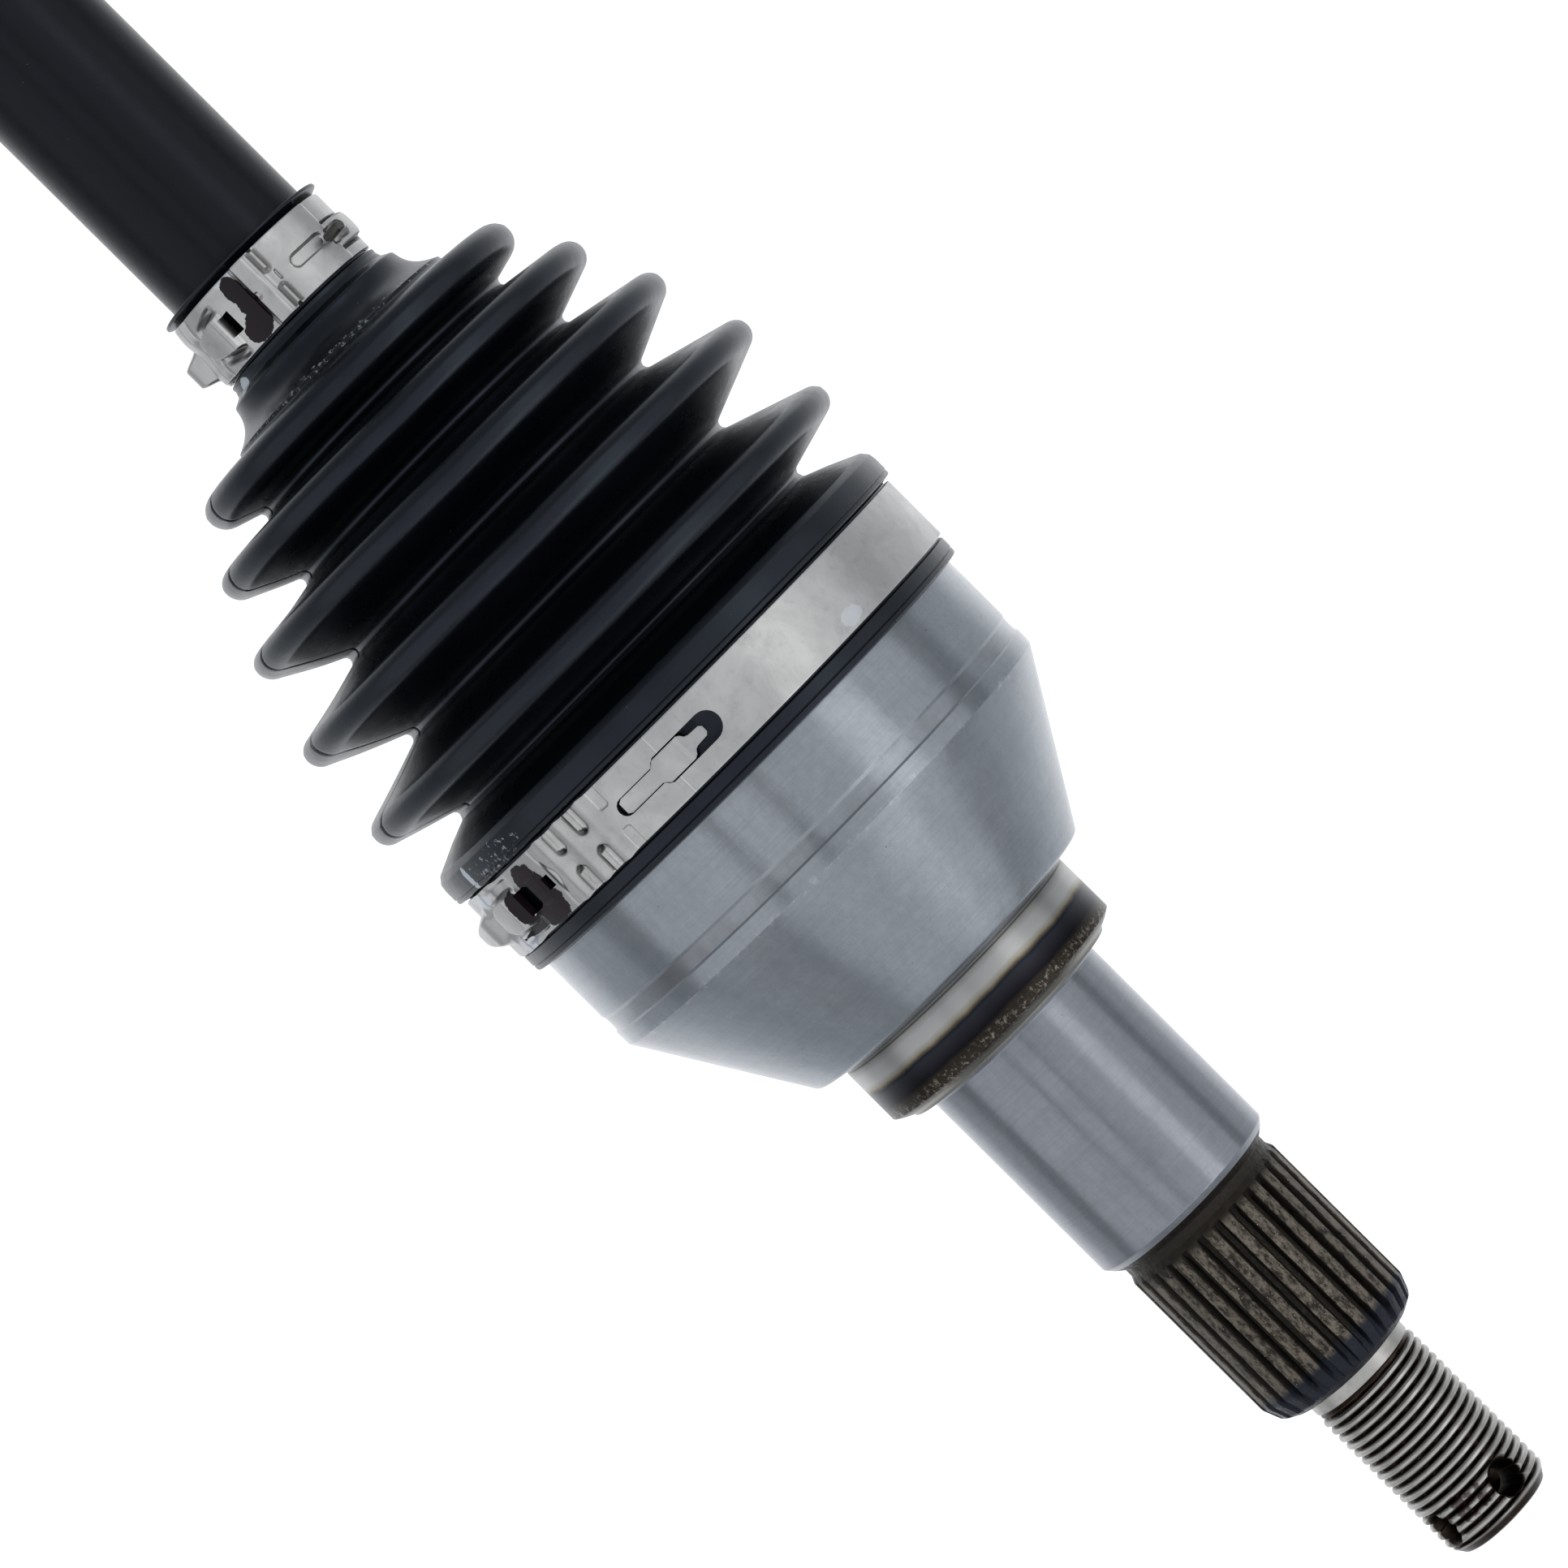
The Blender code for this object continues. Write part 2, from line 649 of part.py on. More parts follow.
def main():
    clear_scene()
    outboard = make_centre("outboard_centre", OUT_CENTRE)
    inboard = make_centre("inboard_centre", IN_CENTRE)

    make_wheel_housing(outboard, STEEL)
    make_cage("outboard_cage", outboard, STEEL)
    make_race("outboard_inner_race", outboard, True, STEEL)
    make_balls("outboard", outboard, BALL_STEEL)
    clip_x = sum(BAR_GROOVE) / 2
    clip_inner = BAR_GROOVE_RADIUS + GAP
    open_ring("outboard_circlip", outboard, clip_x, clip_inner, RACE_CLIP, SPRING_STEEL)
    make_outboard_boot(outboard, RUBBER)
    band_clamp("outboard_large_clamp", outboard, OUT_LARGE_BAND_X, LARGE_BAND, LARGE_BUMP, CLAMP_STEEL)
    band_clamp("outboard_small_clamp", outboard, OUT_SMALL_BAND_X, SMALL_BAND, SMALL_BUMP, CLAMP_STEEL)

    make_bar(BLACK_PAINT)

    make_gearbox_housing(inboard, STEEL)
    make_cage("inboard_cage", inboard, STEEL)
    make_race("inboard_inner_race", inboard, False, STEEL)
    make_balls("inboard", inboard, BALL_STEEL)
    open_ring("inboard_circlip", inboard, -clip_x, clip_inner, RACE_CLIP, SPRING_STEEL)
    open_ring("inboard_retaining_ring", inboard, RING_X, CUP_RING_INNER, CUP_RING, SPRING_STEEL)
    make_inboard_boot(inboard, RUBBER)
    band_clamp("inboard_large_clamp", inboard, IN_LARGE_BAND_X, IN_LARGE_BAND, LARGE_BUMP, CLAMP_STEEL)
    band_clamp("inboard_small_clamp", inboard, IN_SMALL_BAND_X, SMALL_BAND, SMALL_BUMP, CLAMP_STEEL)
    open_ring("inboard_stub_circlip", inboard, CLIP_X, STUB_SPLINE_ROOT - 1.1, STUB_CLIP, SPRING_STEEL)


main()
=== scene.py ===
"""Looks of the CV axle: turned and heat-tinted steel, black rubber boots, band clamps and a painted
bar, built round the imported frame.

Lengths are in millimetres from a joint centre, along the axle towards the wheel end, unless they
say otherwise. Angles round the axle start at straight up and turn towards -Y.
"""
import json
import math

import bmesh
import bpy
import numpy as np
from mathutils import Matrix, Vector


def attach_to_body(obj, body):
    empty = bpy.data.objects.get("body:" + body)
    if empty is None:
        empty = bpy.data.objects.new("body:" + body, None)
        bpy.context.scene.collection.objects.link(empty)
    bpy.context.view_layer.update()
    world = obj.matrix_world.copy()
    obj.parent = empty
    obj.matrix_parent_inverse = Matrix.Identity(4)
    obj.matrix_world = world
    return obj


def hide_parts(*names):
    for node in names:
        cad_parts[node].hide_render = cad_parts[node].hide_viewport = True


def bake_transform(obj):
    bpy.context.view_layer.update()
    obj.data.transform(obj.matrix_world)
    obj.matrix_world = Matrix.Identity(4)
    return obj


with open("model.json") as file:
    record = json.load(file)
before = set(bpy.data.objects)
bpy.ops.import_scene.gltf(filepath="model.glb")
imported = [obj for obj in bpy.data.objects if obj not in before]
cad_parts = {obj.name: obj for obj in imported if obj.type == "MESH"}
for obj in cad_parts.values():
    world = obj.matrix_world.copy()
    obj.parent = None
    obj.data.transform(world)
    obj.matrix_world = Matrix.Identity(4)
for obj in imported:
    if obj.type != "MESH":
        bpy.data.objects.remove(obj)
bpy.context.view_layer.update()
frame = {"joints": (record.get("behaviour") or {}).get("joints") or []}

MM = 0.001
JOINTS = {joint["name"]: joint for joint in frame["joints"]}
OUT = JOINTS["wheel_bend_y"]["pos_m"][0]
IN = JOINTS["gearbox_bend_y"]["pos_m"][0]

BALL_COUNT = 6
BALL_RADIUS = 7.95
PITCH_RADIUS = 25.5
TRACK_RADIUS = 9.25
RACE_RADIUS = 25.8
RACE_HALF = 12.0
CAGE_INNER = 26.5
CAGE_OUTER = 30.8
CAGE_INNER_LEAN = 29.38
CAGE_OUTER_LEAN = 24.96
SOCKET_RADIUS = 31.6
TRACKS = [2 * math.pi * (k + 0.5) / BALL_COUNT for k in range(BALL_COUNT)]

BOOT_WALL = 1.8
SEAM_TURN = 70.0
CREST_ROUND = 2.3
VALLEY_ROUND = 0.9

WHEEL_LARGE_BAND = -14.8
WHEEL_SMALL_BAND = -98.5
GEARBOX_LARGE_BAND = 28.0
GEARBOX_SMALL_BAND = 125.5

CAMERA_HEIGHT = 786.0
PHOTO_SIDE = 1932
PHOTO_SCALE = 8.9


# ---------------------------------------------------------------- outlines

def rounded(points, arc_steps=5):
    """An outline through (x, radius, fillet) corners, with each corner rounded off."""
    line = []
    for k, (x, radius, fillet) in enumerate(points):
        here = np.array((x, radius), float)
        if fillet <= 0 or k in (0, len(points) - 1):
            line.append(tuple(here))
            continue
        before = np.array(points[k - 1][:2], float) - here
        after = np.array(points[k + 1][:2], float) - here
        reach_before = np.linalg.norm(before)
        reach_after = np.linalg.norm(after)
        before /= reach_before
        after /= reach_after
        cosine = np.clip(np.dot(before, after), -0.9999, 0.9999)
        cut = min(fillet / math.tan(math.acos(cosine) / 2), 0.48 * reach_before, 0.48 * reach_after)
        start = here + before * cut
        end = here + after * cut
        for m in range(arc_steps + 1):
            t = m / arc_steps
            point = start * (1 - t) ** 2 + 2 * here * t * (1 - t) + end * t ** 2
            line.append(tuple(point))
    return line


def folds(points, arc_steps=12):
    """An outline of straight flanks that touch round crests and valleys. points are
    (x, radius, rounding), with the rounding positive on a crest and negative in a valley. It runs
    towards +X."""
    line = []
    normals = []
    centres = [np.array((x, radius - rounding), float) for x, radius, rounding in points]
    for k in range(len(points) - 1):
        span = centres[k + 1] - centres[k]
        length = np.linalg.norm(span)
        along = span / length
        across = np.array((-along[1], along[0]))
        cosine = (points[k][2] - points[k + 1][2]) / length
        normals.append(cosine * along + math.sqrt(max(0.0, 1 - cosine * cosine)) * across)
    for k, centre in enumerate(centres):
        rounding = points[k][2]
        first = normals[max(k - 1, 0)]
        last = normals[min(k, len(normals) - 1)]
        start = math.atan2(first[1], first[0])
        end = math.atan2(last[1], last[0])
        if k == 0 or k == len(points) - 1:
            edge = math.pi / 2
            start, end = (edge, end) if k == 0 else (start, edge)
        for m in range(arc_steps + 1):
            angle = start + (end - start) * m / arc_steps
            point = centre + rounding * np.array((math.cos(angle), math.sin(angle)))
            line.append(tuple(point))
    return line


def arc(radius, start, end, count):
    """Points on a circle about the joint centre, by angle in degrees from +X."""
    angles = np.radians(np.linspace(start, end, count + 1))
    return [(radius * math.cos(a), radius * math.sin(a)) for a in angles]


def refined(line, longest):
    """The same outline with its long straight runs divided."""
    result = [line[0]]
    for (x0, r0), (x1, r1) in zip(line, line[1:]):
        parts = max(1, math.ceil(math.hypot(x1 - x0, r1 - r0) / longest))
        for k in range(1, parts + 1):
            t = k / parts
            result.append((x0 + (x1 - x0) * t, r0 + (r1 - r0) * t))
    return result


# ---------------------------------------------------------------- meshes

def added(name, data):
    """A new object in the scene."""
    thing = bpy.data.objects.new(name, data)
    bpy.context.collection.objects.link(thing)
    return thing


def finished(builder, name):
    """The mesh of a bmesh, which is freed."""
    mesh = bpy.data.meshes.new(name)
    builder.to_mesh(mesh)
    builder.free()
    return mesh


def shade(mesh, sharp):
    """Smooth faces, with crisp edges over that many degrees."""
    mesh.shade_smooth()
    mesh.set_sharp_from_angle(angle=math.radians(sharp))


def link(name, mesh, materials, sharp=32):
    """A new shaded object of those materials."""
    for material in materials:
        mesh.materials.append(material)
    shade(mesh, sharp)
    return added(name, mesh)


def attach(piece, body, slot, *nodes):
    """Says which body a piece rides on and which nodes it replaces; slot is not used."""
    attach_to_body(piece, body)
    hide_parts(*nodes)


def on_axle(centre, x, radius, angle):
    """A point at a station, a radius and an angle round the axle, in metres."""
    return centre + x * MM, -radius * math.sin(angle) * MM, radius * math.cos(angle) * MM


def skin(builder, loops):
    """Walls from each loop of vertices to the next, with both ends closed."""
    for first, second in zip(loops, loops[1:]):
        for k in range(len(first)):
            after = (k + 1) % len(first)
            builder.faces.new((first[k], first[after], second[after], second[k]))
    builder.faces.new(loops[0])
    builder.faces.new(loops[-1])
    bmesh.ops.recalc_face_normals(builder, faces=builder.faces)


def grid_mesh(name, X, R, A, centre, wrap_rows, caps):
    """A mesh from stations by angles: X along, R out and A round the axle."""
    rows, columns = X.shape
    points = np.stack([centre + X * MM, -R * np.sin(A) * MM, R * np.cos(A) * MM], axis=-1)
    index = np.arange(rows * columns).reshape(rows, columns)
    if wrap_rows:
        index = np.vstack([index, index[:1]])
    first = index[:-1]
    second = index[1:]
    quads = np.stack(
        [first, np.roll(first, -1, axis=1), np.roll(second, -1, axis=1), second], axis=-1
    ).reshape(-1, 4)
    faces = [tuple(int(i) for i in quad) for quad in quads]
    if caps:
        faces.append(tuple(int(i) for i in index[0][::-1]))
        faces.append(tuple(int(i) for i in index[-1]))
    mesh = bpy.data.meshes.new(name)
    mesh.from_pydata(points.reshape(-1, 3).tolist(), [], faces)
    mesh.update()
    return mesh


def even(steps):
    """Angles at even steps round the axle."""
    return np.arange(steps) * 2 * math.pi / steps


def lathe(name, line, centre, materials, angles, closed=False, relief=None, zones=(), sharp=32,
          lean=None):
    """A turned piece about the axle. relief(x, radius, angle) gives a new radius and lean(x,
    radius, angle) a shift along the axle. zones are (x, material number): faces beyond that x
    take that material."""
    xs, rs = np.array(line, float).T
    X, A = np.meshgrid(xs, angles, indexing="ij")
    R = np.repeat(rs[:, None], len(angles), axis=1)
    shift = lean(X, R, A) if lean else 0.0
    if relief:
        R = relief(X, R, A)
    X = X + shift
    mesh = grid_mesh(name, X, R, A, centre, closed, not closed)
    tidy(mesh)
    if zones:
        mids = np.empty(len(mesh.polygons) * 3)
        mesh.polygons.foreach_get("center", mids)
        mids = (mids.reshape(-1, 3)[:, 0] - centre) / MM
        chosen = np.zeros(len(mids), dtype=np.int32)
        for limit, number in zones:
            chosen[mids > limit] = number
        mesh.polygons.foreach_set("material_index", chosen)
    return link(name, mesh, materials, sharp)


def tidy(mesh):
    """Faces turned outwards."""
    builder = bmesh.new()
    builder.from_mesh(mesh)
    bmesh.ops.recalc_face_normals(builder, faces=builder.faces)
    builder.to_mesh(mesh)
    builder.free()


def cut_away(thing, cutters, sharp):
    """Booleans the cutters out of a piece, removes them and shades the piece again."""
    for cutter in cutters:
        modifier = thing.modifiers.new("cut", "BOOLEAN")
        modifier.operation = "DIFFERENCE"
        modifier.solver = "EXACT"
        modifier.object = cutter
    apply_modifiers(thing)
    for cutter in cutters:
        bpy.data.objects.remove(cutter, do_unlink=True)
    shade(thing.data, sharp)


def apply_modifiers(thing):
    """Turns the evaluated mesh into the piece's own mesh."""
    bpy.context.view_layer.update()
    graph = bpy.context.evaluated_depsgraph_get()
    mesh = bpy.data.meshes.new_from_object(thing.evaluated_get(graph))
    old = thing.data
    thing.modifiers.clear()
    thing.data = mesh
    bpy.data.meshes.remove(old)


def ease(value, start, end):
    """0 before start, 1 after end, smooth between; start may lie after end."""
    t = np.clip((value - start) / (end - start), 0, 1)
    return t * t * (3 - 2 * t)


def pad(value, low, high, soft):
    """1 inside low..high and 0 outside, with soft shoulders."""
    return ease(value, low - soft / 2, low + soft / 2) * ease(value, high + soft / 2, high - soft / 2)


def hump(value, middle, width):
    """A bell curve: 1 at its middle, fading out over a few widths."""
    return np.exp(-((value - middle) / width) ** 2)


def signed(angle):
    """The same angle, between half a turn back and half a turn on."""
    return (angle + math.pi) % (2 * math.pi) - math.pi


# ---------------------------------------------------------------- materials

class Nodes:
    """Short calls for building one procedural material. Positions are in millimetres from a
    joint centre, with x along the axle."""

    def __init__(self, name, centre, roughness=0.5, metallic=0.0):
        self.material = bpy.data.materials.new(name)
        self.material.use_nodes = True
        self.tree = self.material.node_tree
        self.shader = self.tree.nodes["Principled BSDF"]
        self.shader.inputs["Roughness"].default_value = roughness
        self.shader.inputs["Metallic"].default_value = metallic
        place = self.tree.nodes.new("ShaderNodeTexCoord")
        mapping = self.tree.nodes.new("ShaderNodeMapping")
        mapping.inputs["Location"].default_value = (-centre / MM, 0, 0)
        mapping.inputs["Scale"].default_value = (1 / MM, 1 / MM, 1 / MM)
        self.tree.links.new(place.outputs["Object"], mapping.inputs["Vector"])
        self.place = mapping.outputs["Vector"]
        parts = self.node("ShaderNodeSeparateXYZ", self.place)
        self.x = parts.outputs["X"]
        self.y = parts.outputs["Y"]
        self.z = parts.outputs["Z"]

    def node(self, kind, *inputs, **settings):
        """A node with its first inputs linked or set."""
        made = self.tree.nodes.new(kind)
        for key, value in settings.items():
            setattr(made, key, value)
        for k, value in enumerate(inputs):
            self.feed(made.inputs[k], value)
        return made

    def feed(self, socket, value):
        """Links an output, or sets a value."""
        if isinstance(value, bpy.types.NodeSocket):
            self.tree.links.new(value, socket)
        elif value is not None:
            socket.default_value = value

    def math(self, operation, a, b=0.0, c=0.0):
        """One sum."""
        return self.node("ShaderNodeMath", a, b, c, operation=operation).outputs[0]

    def times(self, a, b):
        """One value times another."""
        return self.math("MULTIPLY", a, b)

    def stretched(self, sx, sy, sz):
        """The position with each way scaled, for streaks and rings."""
        mapping = self.node("ShaderNodeMapping", self.place)
        mapping.inputs["Scale"].default_value = (sx, sy, sz)
        return mapping.outputs["Vector"]

    def noise(self, scale, detail=3.0, roughness=0.5, vector=None, distortion=0.0):
        """Noise from 0 to 1; scale is in cycles per millimetre."""
        made = self.tree.nodes.new("ShaderNodeTexNoise")
        made.inputs["Scale"].default_value = scale
        made.inputs["Detail"].default_value = detail
        made.inputs["Roughness"].default_value = roughness
        made.inputs["Distortion"].default_value = distortion
        self.feed(made.inputs["Vector"], vector if vector is not None else self.place)
        return made.outputs["Fac"]

    def cells(self, scale):
        """Distance to scattered points, for specks."""
        made = self.tree.nodes.new("ShaderNodeTexVoronoi")
        made.inputs["Scale"].default_value = scale
        self.feed(made.inputs["Vector"], self.place)
        return made.outputs["Distance"]

    def span(self, value, low, high, out_low=0.0, out_high=1.0, smooth=False):
        """A value carried from one range to another, held at its ends."""
        made = self.tree.nodes.new("ShaderNodeMapRange")
        made.interpolation_type = "SMOOTHSTEP" if smooth else "LINEAR"
        made.clamp = True
        for socket, item in zip(made.inputs, (value, low, high, out_low, out_high)):
            self.feed(socket, item)
        return made.outputs[0]

    def ramp(self, value, stops, low=0.0, high=1.0):
        """Colours along a value: stops are (position, colour)."""
        scaled = self.span(value, low, high)
        made = self.node("ShaderNodeValToRGB", scaled)
        elements = made.color_ramp.elements
        while len(elements) < len(stops):
            elements.new(0.5)
        for element, (position, _) in zip(elements, stops):
            element.position = (position - low) / (high - low)
        for element, (_, colour) in zip(elements, stops):
            element.color = (*colour, 1.0)
        return made.outputs["Color"]

    def mix(self, amount, a, b):
        """One colour over another."""
        made = self.tree.nodes.new("ShaderNodeMix")
        made.data_type = "RGBA"
        self.feed(made.inputs[0], amount)
        for socket, value in ((made.inputs[6], a), (made.inputs[7], b)):
            if isinstance(value, tuple):
                value = (*value, 1.0)
            self.feed(socket, value)
        return made.outputs[2]

    def radius(self):
        """Distance from the axle's axis."""
        square = self.math("MULTIPLY_ADD", self.y, self.y, self.times(self.z, self.z))
        return self.math("SQRT", square)

    def angle(self):
        """Angle round the axle in degrees, from straight up towards -Y."""
        flipped = self.times(self.y, -1.0)
        turned = self.math("ARCTAN2", flipped, self.z)
        return self.math("DEGREES", turned)

    def offset(self, value, low, high):
        """A value as -1 at low, 0 halfway and 1 at high."""
        return self.math("DIVIDE", self.math("SUBTRACT", value, (low + high) / 2), (high - low) / 2)

    def oval(self, x0, x1, a0, a1):
        """The squared distance from an oval's middle: 1 on the oval that touches two stations
        and two angles."""
        off_x = self.offset(self.x, x0, x1)
        off_a = self.offset(self.angle(), a0, a1)
        return self.math("MULTIPLY_ADD", off_x, off_x, self.times(off_a, off_a))

    def blot(self, x0, x1, a0, a1, jag=0.4, grain=0.5):
        """1 inside a ragged oval between two stations and two angles, 0 outside."""
        edge = self.math("SUBTRACT", self.noise(grain, 5.0, 0.72), 0.5)
        shifted = self.math("MULTIPLY_ADD", edge, 4 * jag, self.oval(x0, x1, a0, a1))
        return self.span(shifted, 0.96, 1.04, 1.0, 0.0)

    def haze(self, x0, x1, a0, a1):
        """A soft oval patch: 1 in its middle, fading to 0 at two stations and two angles."""
        return self.span(self.oval(x0, x1, a0, a1), 0.2, 1.0, 1.0, 0.0, True)

    def either(self, masks):
        """The strongest of several masks."""
        result = masks[0]
        for mask in masks[1:]:
            result = self.math("MAXIMUM", result, mask)
        return result

    def colour(self, value):
        """Gives the material its colour."""
        if isinstance(value, tuple):
            value = (*value, 1.0)
        self.feed(self.shader.inputs["Base Color"], value)

    def roughness(self, value):
        """Gives the material its roughness."""
        self.feed(self.shader.inputs["Roughness"], value)

    def bump(self, height, distance_mm, strength=1.0, under=None):
        """Surface detail of that height."""
        made = self.tree.nodes.new("ShaderNodeBump")
        made.inputs["Strength"].default_value = strength
        made.inputs["Distance"].default_value = distance_mm * MM
        self.feed(made.inputs["Height"], height)
        if under is not None:
            self.feed(made.inputs["Normal"], under)
        return made.outputs["Normal"]

    def normal(self, value):
        """Gives the material its surface detail."""
        self.feed(self.shader.inputs["Normal"], value)


def brushed_round(nodes, amount):
    """Stretches the shine along the axle, as fine turning marks do."""
    around = nodes.node("ShaderNodeTangent", direction_type="RADIAL", axis="X")
    nodes.feed(nodes.shader.inputs["Tangent"], around.outputs["Tangent"])
    nodes.shader.inputs["Anisotropic"].default_value = amount
    nodes.shader.inputs["Anisotropic Rotation"].default_value = 0.25


def turned_steel(name, centre, tone, tint, roughness, ring_scale=3.0, stain=0.5):
    """Machined steel with fine turning rings, soft clouds, smudges and a few specks."""
    nodes = Nodes(name, centre, metallic=1.0)
    brushed_round(nodes, 0.88)
    rings = nodes.noise(1.0, 5.0, 0.7, nodes.stretched(ring_scale, 0.03, 0.03))
    clouds = nodes.noise(0.035, 5.0, 0.6, distortion=0.8)
    grain = nodes.noise(0.8, 5.0, 0.75)
    base = nodes.mix(nodes.span(clouds, 0.35, 0.7, 0.0, stain), tone, tint)
    base = nodes.mix(nodes.span(rings, 0.35, 0.75, 0.0, 0.38), base, tuple(0.62 * c for c in tone))
    base = nodes.mix(nodes.span(grain, 0.42, 0.72, 0.0, 0.36), base, tuple(0.62 * c for c in tone))
    hatch = nodes.noise(1.0, 4.0, 0.7, nodes.stretched(0.05, 1.1, 1.1))
    base = nodes.mix(nodes.span(hatch, 0.45, 0.75, 0.0, 0.30), base, tuple(0.68 * c for c in tone))
    specks = nodes.span(nodes.cells(0.55), 0.03, 0.07, 0.6, 0.0)
    keep = nodes.span(nodes.noise(0.11, 2.0), 0.54, 0.62)
    base = nodes.mix(nodes.times(specks, keep), base, (0.07, 0.066, 0.062))
    nodes.base = base
    nodes.colour(base)
    smudges = nodes.noise(0.12, 5.0, 0.6, distortion=0.4)
    nodes.roughness(nodes.span(smudges, 0.25, 0.75, roughness - 0.05, roughness + 0.09))
    fine = nodes.bump(rings, 0.03, 0.5)
    fine = nodes.bump(grain, 0.02, 0.35, fine)
    nodes.normal(nodes.bump(clouds, 0.2, 0.3, fine))
    return nodes


def bell_steel():
    """The bell: rings of stain in the groove, nicks along the edges and scattered pits."""
    nodes = turned_steel("bell_steel", OUT, (0.325, 0.347, 0.379), (0.235, 0.257, 0.289), 0.25,
                         3.0, 0.8)
    around = nodes.noise(0.06, 3.0, 0.6)
    groove = nodes.times(nodes.span(nodes.x, 4.3, 4.7), nodes.span(nodes.x, 7.3, 7.0))
    darkening = nodes.times(groove, nodes.span(around, 0.45, 0.60, 0.0, 0.30))
    base = nodes.mix(darkening, nodes.base, (0.085, 0.075, 0.065))
    pits = nodes.span(nodes.cells(0.30), 0.018, 0.034, 0.9, 0.0)
    nicks = nodes.times(pits, nodes.span(nodes.noise(0.07, 2.0), 0.48, 0.55))
    base = nodes.mix(nicks, base, (0.03, 0.028, 0.026))
    edge = nodes.times(nodes.span(nodes.x, 8.8, 9.5), nodes.span(nodes.x, 10.3, 9.9))
    bright = nodes.times(edge, nodes.span(nodes.noise(0.9, 5.0, 0.7), 0.52, 0.68, 0.0, 0.45))
    base = nodes.mix(bright, base, (0.5, 0.51, 0.53))
    curls = nodes.noise(0.4, 3.0, 0.6, distortion=2.2)
    marks = nodes.times(nodes.span(curls, 0.495, 0.50), nodes.span(curls, 0.505, 0.50))
    rare = nodes.span(nodes.noise(0.035, 2.0), 0.60, 0.64)
    base = nodes.mix(nodes.times(nodes.times(marks, rare), 0.8), base, (0.06, 0.058, 0.06))
    nodes.colour(base)
    return nodes.material


def seat_steel():
    """The bearing seat: darker than the bell, with closer rings."""
    tone, tint = (0.285, 0.297, 0.33), (0.23, 0.242, 0.272)
    return turned_steel("seat_steel", OUT, tone, tint, 0.28, 4.0).material


def collar_steel():
    """The shoulder ring: bright, then straw, blue and near black where it was heated."""
    nodes = Nodes("collar_steel", OUT, metallic=1.0)
    brushed_round(nodes, 0.7)
    wave = nodes.span(nodes.noise(0.12, 3.0, 0.6), 0.2, 0.8, -0.30, 0.30)
    x = nodes.math("ADD", nodes.x, wave)
    stops = [
        (34.0, (0.20, 0.197, 0.185)),
        (35.2, (0.33, 0.33, 0.33)),
        (36.9, (0.36, 0.36, 0.355)),
        (37.6, (0.25, 0.235, 0.19)),
        (38.0, (0.10, 0.075, 0.045)),
        (38.35, (0.012, 0.018, 0.030)),
        (38.8, (0.028, 0.029, 0.036)),
        (39.6, (0.022, 0.022, 0.028)),
        (40.9, (0.010, 0.010, 0.013)),
        (41.4, (0.026, 0.022, 0.018)),
        (43.2, (0.040, 0.033, 0.027)),
        (44.0, (0.20, 0.20, 0.18)),
        (46.0, (0.19, 0.19, 0.175)),
    ]
    base = nodes.ramp(x, stops, 34.0, 46.0)
    specks = nodes.span(nodes.noise(1.6, 4.0, 0.7), 0.52, 0.66)
    late = nodes.span(nodes.x, 41.3, 42.4)
    base = nodes.mix(nodes.times(specks, late), base, (0.24, 0.215, 0.185))
    nodes.colour(base)
    nodes.roughness(nodes.span(nodes.x, 37.4, 40.0, 0.36, 0.40))
    rings = nodes.noise(1.0, 3.0, 0.6, nodes.stretched(4.0, 0.04, 0.04))
    nodes.normal(nodes.bump(rings, 0.02, 0.5))
    return nodes.material


def spline_oxide(name, centre, land_radius, land_start, land_end):
    """Dark oxide on the teeth with worn, flecked lands between two stations."""
    nodes = Nodes(name, centre, metallic=0.85)
    radius = nodes.radius()
    land = nodes.span(radius, land_radius - 0.30, land_radius - 0.06)
    reach = nodes.times(nodes.span(nodes.x, land_start, land_start + 1.2),
                        nodes.span(nodes.x, land_end, land_end - 1.0))
    land = nodes.times(land, reach)
    flecks = nodes.span(nodes.noise(1.1, 6.0, 0.75, nodes.stretched(0.5, 1.0, 1.0)), 0.42, 0.56)
    fine = nodes.span(nodes.noise(3.2, 4.0, 0.8), 0.52, 0.64)
    white = nodes.times(nodes.span(nodes.cells(1.6), 0.10, 0.16, 1.0, 0.0),
                        nodes.span(flecks, 0.1, 0.6, 1.0, 0.2))
    tip = nodes.span(nodes.x, land_end - 1.5, land_end)
    bare = nodes.mix(tip, (0.026, 0.022, 0.018), (0.020, 0.023, 0.032))
    base = nodes.mix(nodes.times(land, flecks), bare, (0.165, 0.142, 0.115))
    base = nodes.mix(nodes.times(land, nodes.times(fine, 0.5)), base, (0.015, 0.014, 0.013))
    base = nodes.mix(nodes.times(land, nodes.times(white, 0.7)), base, (0.45, 0.43, 0.40))
    nodes.colour(base)
    nodes.roughness(nodes.span(flecks, 0.0, 1.0, 0.30, 0.50))
    rough_skin = nodes.bump(fine, 0.03, 0.6)
    nodes.normal(nodes.bump(flecks, 0.06, 0.6, rough_skin))
    return nodes.material


